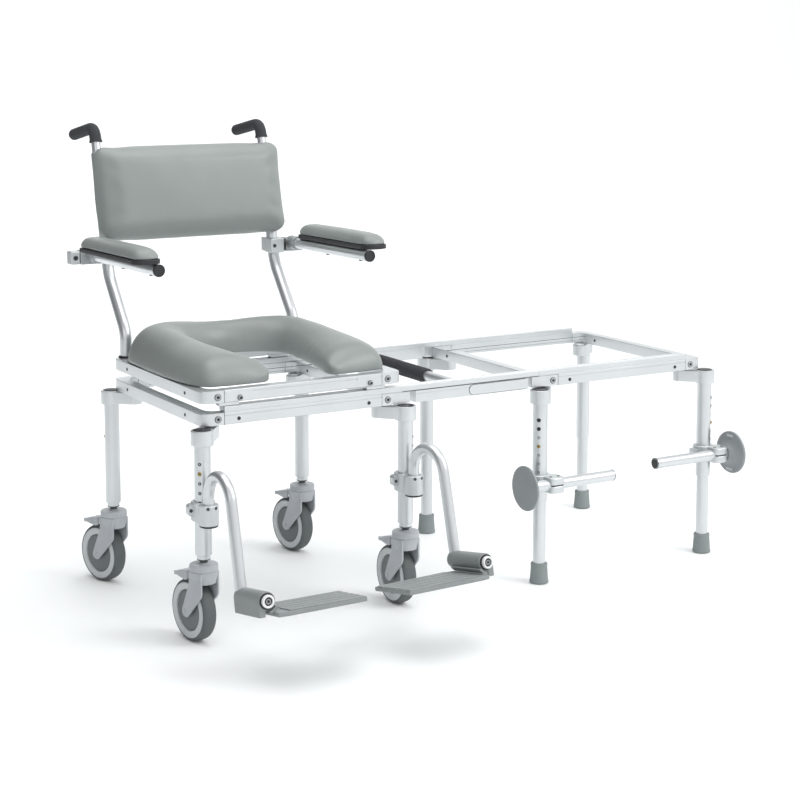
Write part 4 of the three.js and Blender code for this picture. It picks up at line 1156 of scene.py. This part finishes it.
# ---- bath clamps -----------------------------------------------------------------------------------
def bath_clamp(side):
    sx = SIDES[side]
    x, y = leg_axis(f"tub_leg_tube_front_{side}")
    low, high = (to_layout(p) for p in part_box(f"bath_rod_{side}"))
    z = (low.z + high.z) / 2
    place = LAYOUT @ shift(x, y, z)
    clamp, screws, gap = Maker(place), Maker(place), Maker(place)
    clamp.ring(24, POST_RADIUS + 0.4, (0, 0, 0.8), (0, 0, 18), edge=1.6)
    clamp.ring(24, POST_RADIUS + 0.4, (0, 0, -18), (0, 0, -0.8), edge=1.6)
    for z0, z1 in ((0.7, 17.5), (-17.5, -0.7)):
        clamp.prism(rounded_rectangle(-6, ROD_Y - 19, 34, -8, 13, 5), z0, z1, edge=3.4, steps=4)
    clamp.block((-34, -20), (-10, 10), (-12, 12), 2.5)
    clamp.done(f"bath_clamp_body_{side}", "tub_side", CAST, "aluminium", (f"bath_clamp_{side}",))
    gap.ring(22.6, POST_RADIUS + 0.4, (0, 0, -1), (0, 0, 1), edge=0.2)
    gap.prism(rounded_rectangle(-4.5, ROD_Y - 17.5, 32.5, -9, 11, 5), -0.9, 0.9, edge=0.1)
    gap.done(f"bath_clamp_split_{side}", "tub_side", BLACK, "aluminium")
    screws.screw((-27, -10, 0), (0, -1, 0), 4.4, 1.4, 0.55)
    for dx in (4, 24):
        screws.screw((dx, ROD_Y - 2, 17.4), (0, 0, 1), 3.4, 0.8, 0.55)
    screws.done(f"bath_clamp_screws_{side}", "tub_side", DARK, "aluminium")
    face, end = (-64, 173) if sx < 0 else (58, -169)
    inward = -sx
    rod = Maker(place)
    rod.rod(TUBE_RADIUS - 0.2, (face + inward * 8, ROD_Y, 0), (end, ROD_Y, 0), 40, 1)
    rod.done(f"bath_rod_tube_{side}", f"bath_pad_{side}", ALUMINIUM, "aluminium", (f"bath_rod_{side}",))
    disc = Maker(place)
    at = aim((face, ROD_Y, 0), (inward, 0, 0))
    disc.lathe([(0.1, 0), (DISC_RADIUS - 2.5, 0), (DISC_RADIUS - 0.4, 1), (DISC_RADIUS, 2.8),
                (DISC_RADIUS - 0.6, 5.6), (DISC_RADIUS - 2.6, 6.8), (38, 7.4), (31, 9.2), (25, 12.4),
                (20.5, 16.8), (17.8, 21.4), (16.4, 22.4),
                (13, 22.4), (12.4, 21), (0.1, 21)], at, 72)
    disc.done(f"bath_disc_{side}", f"bath_pad_{side}", DISC, "plate_plastic")
    marks = Maker(place)
    for angle in (90, 270):
        marks.block((36, 42), (-10, 10), (5.5, 8.6), 1, at @ turn(angle))
    marks.done(f"bath_disc_slots_{side}", f"bath_pad_{side}", RIM, "plate_plastic")
    cap = Maker(place)
    cap.ring(TUBE_RADIUS + 0.25, TUBE_RADIUS - 2, (end - inward * 1.6, ROD_Y, 0),
             (end - inward * 0.3, ROD_Y, 0), edge=0.2)
    cap.rod(10.8, (end + inward * 0.2, ROD_Y, 0), (end + inward * 0.9, ROD_Y, 0), 40, 0.3)
    cap.done(f"bath_rod_cap_{side}", f"bath_pad_{side}", BLACK, "aluminium")


# ---- frame nodes that stay ---------------------------------------------------------------------------
def dress_cad():
    for name, obj in frame["nodes"].items():
        if obj.hide_render:
            continue
        mesh = obj.data
        if "custom_normal" in mesh.attributes:
            mesh.attributes.remove(mesh.attributes["custom_normal"])
        mesh.shade_smooth()
        mesh.set_sharp_from_angle(angle=math.radians(35))
        upright = "leg" in name
        mesh.materials.clear()
        mesh.materials.append(ALUMINIUM_Z if upright else ALUMINIUM_Y)


# ---- studio ----------------------------------------------------------------------------------------
def studio():
    """A floor that curves up into a narrow wall behind the bench."""
    part = bmesh.new()
    wall = [(3.2 + 2.4 * math.sin(a), 2.4 - 2.4 * math.cos(a))
            for a in (math.radians(9 * i) for i in range(1, 11))]
    for half, path in ((14, [(-9, 0), (3.2, 0)]), (3.6, [(3.2, 0)] + wall + [(5.6, 6)])):
        rows = [[part.verts.new((x, y, z)) for x in (-half, half)] for y, z in path]
        for a, b in zip(rows, rows[1:]):
            part.faces.new((a[0], a[1], b[1], b[0]))
    turned = Matrix.Rotation(-math.atan2(*VIEW_HEADING), 4, "Z")
    bmesh.ops.transform(part, matrix=turned, verts=part.verts)
    mesh = bpy.data.meshes.new("studio_floor")
    part.to_mesh(mesh)
    part.free()
    mesh.shade_smooth()
    mesh.materials.append(FLOOR)
    floor = bpy.data.objects.new("studio_floor", mesh)
    bpy.context.scene.collection.objects.link(floor)


def lights():
    """World light from dark on the left to bright on the right, and four soft lamps."""
    bpy.context.scene.view_settings.view_transform = "Standard"
    world = bpy.data.worlds.new("studio")
    bpy.context.scene.world = world
    world.use_nodes = True
    tree = world.node_tree
    background = tree.nodes["Background"]
    background.inputs["Strength"].default_value = 1.0
    across = tree.nodes.new("ShaderNodeVectorMath")
    across.operation = "DOT_PRODUCT"
    across.inputs[1].default_value = (0.78, -0.47, 0.42)
    tree.links.new(tree.nodes.new("ShaderNodeTexCoord").outputs["Generated"], across.inputs[0])
    half = tree.nodes.new("ShaderNodeMapRange")
    half.inputs["From Min"].default_value, half.inputs["From Max"].default_value = -1, 1
    tree.links.new(across.outputs["Value"], half.inputs["Value"])
    tree.links.new(ramp(tree, half.outputs["Result"], (0.16, 0.165, 0.17, 1), (1, 1, 1, 1), 0.28, 0.72),
                   background.inputs["Color"])
    lamp("key", (2.2, -2.6, 3.2), (0, 0, 0.4), 2.0, 66)
    lamp("top", (-0.4, 0.2, 3.8), (0.1, 0.1, 0), 3.2, 58)
    lamp("wall", (0, 1.6, 3.4), (0, 5.6, 1.6), 2.6, 75)
    lamp("fill", (-3.0, -2.0, 1.6), (0, 0, 0.4), 1.6, 8)


def lamp(name, place, target, size, power):
    data = bpy.data.lights.new(name, "AREA")
    data.shape, data.size, data.energy = "SQUARE", size, power
    obj = bpy.data.objects.new(name, data)
    obj.location = place
    obj.rotation_euler = (Vector(target) - Vector(place)).to_track_quat("-Z", "Y").to_euler()
    bpy.context.scene.collection.objects.link(obj)


def camera():
    data = bpy.data.cameras.new("camera")
    data.lens, data.sensor_width = 81.3, 36
    data.shift_x, data.shift_y = -0.0131, -0.2
    data.clip_end = 60
    obj = bpy.data.objects.new("camera", data)
    obj.location = LAYOUT @ Vector((-1426.7, -3186.1, 1186.4))
    obj.rotation_euler = Vector((*VIEW_HEADING, -0.1105)).to_track_quat("-Z", "Y").to_euler()
    bpy.context.scene.collection.objects.link(obj)
    bpy.context.scene.camera = obj


# ---- assembly --------------------------------------------------------------------------------------
camera()
studio()
lights()
base_frame("chair", 0, 1, "chair_base")
base_frame("tub", TUB_X, -1, "tub_side")
bridge()
for corner_tag in TAGS:
    leg("chair", 0, corner_tag, "chair_base")
    leg("tub", TUB_X, corner_tag, "tub_side")
    tub_foot(corner_tag)
    caster(corner_tag)
seat_frame()
seat_cushion()
backrest()
back_cushion()
for side_name in SIDES:
    armrest(side_name)
    footrest_clamp(side_name)
    hanger(side_name)
    bath_clamp(side_name)
dress_cad()

bpy.context.view_layer.update()
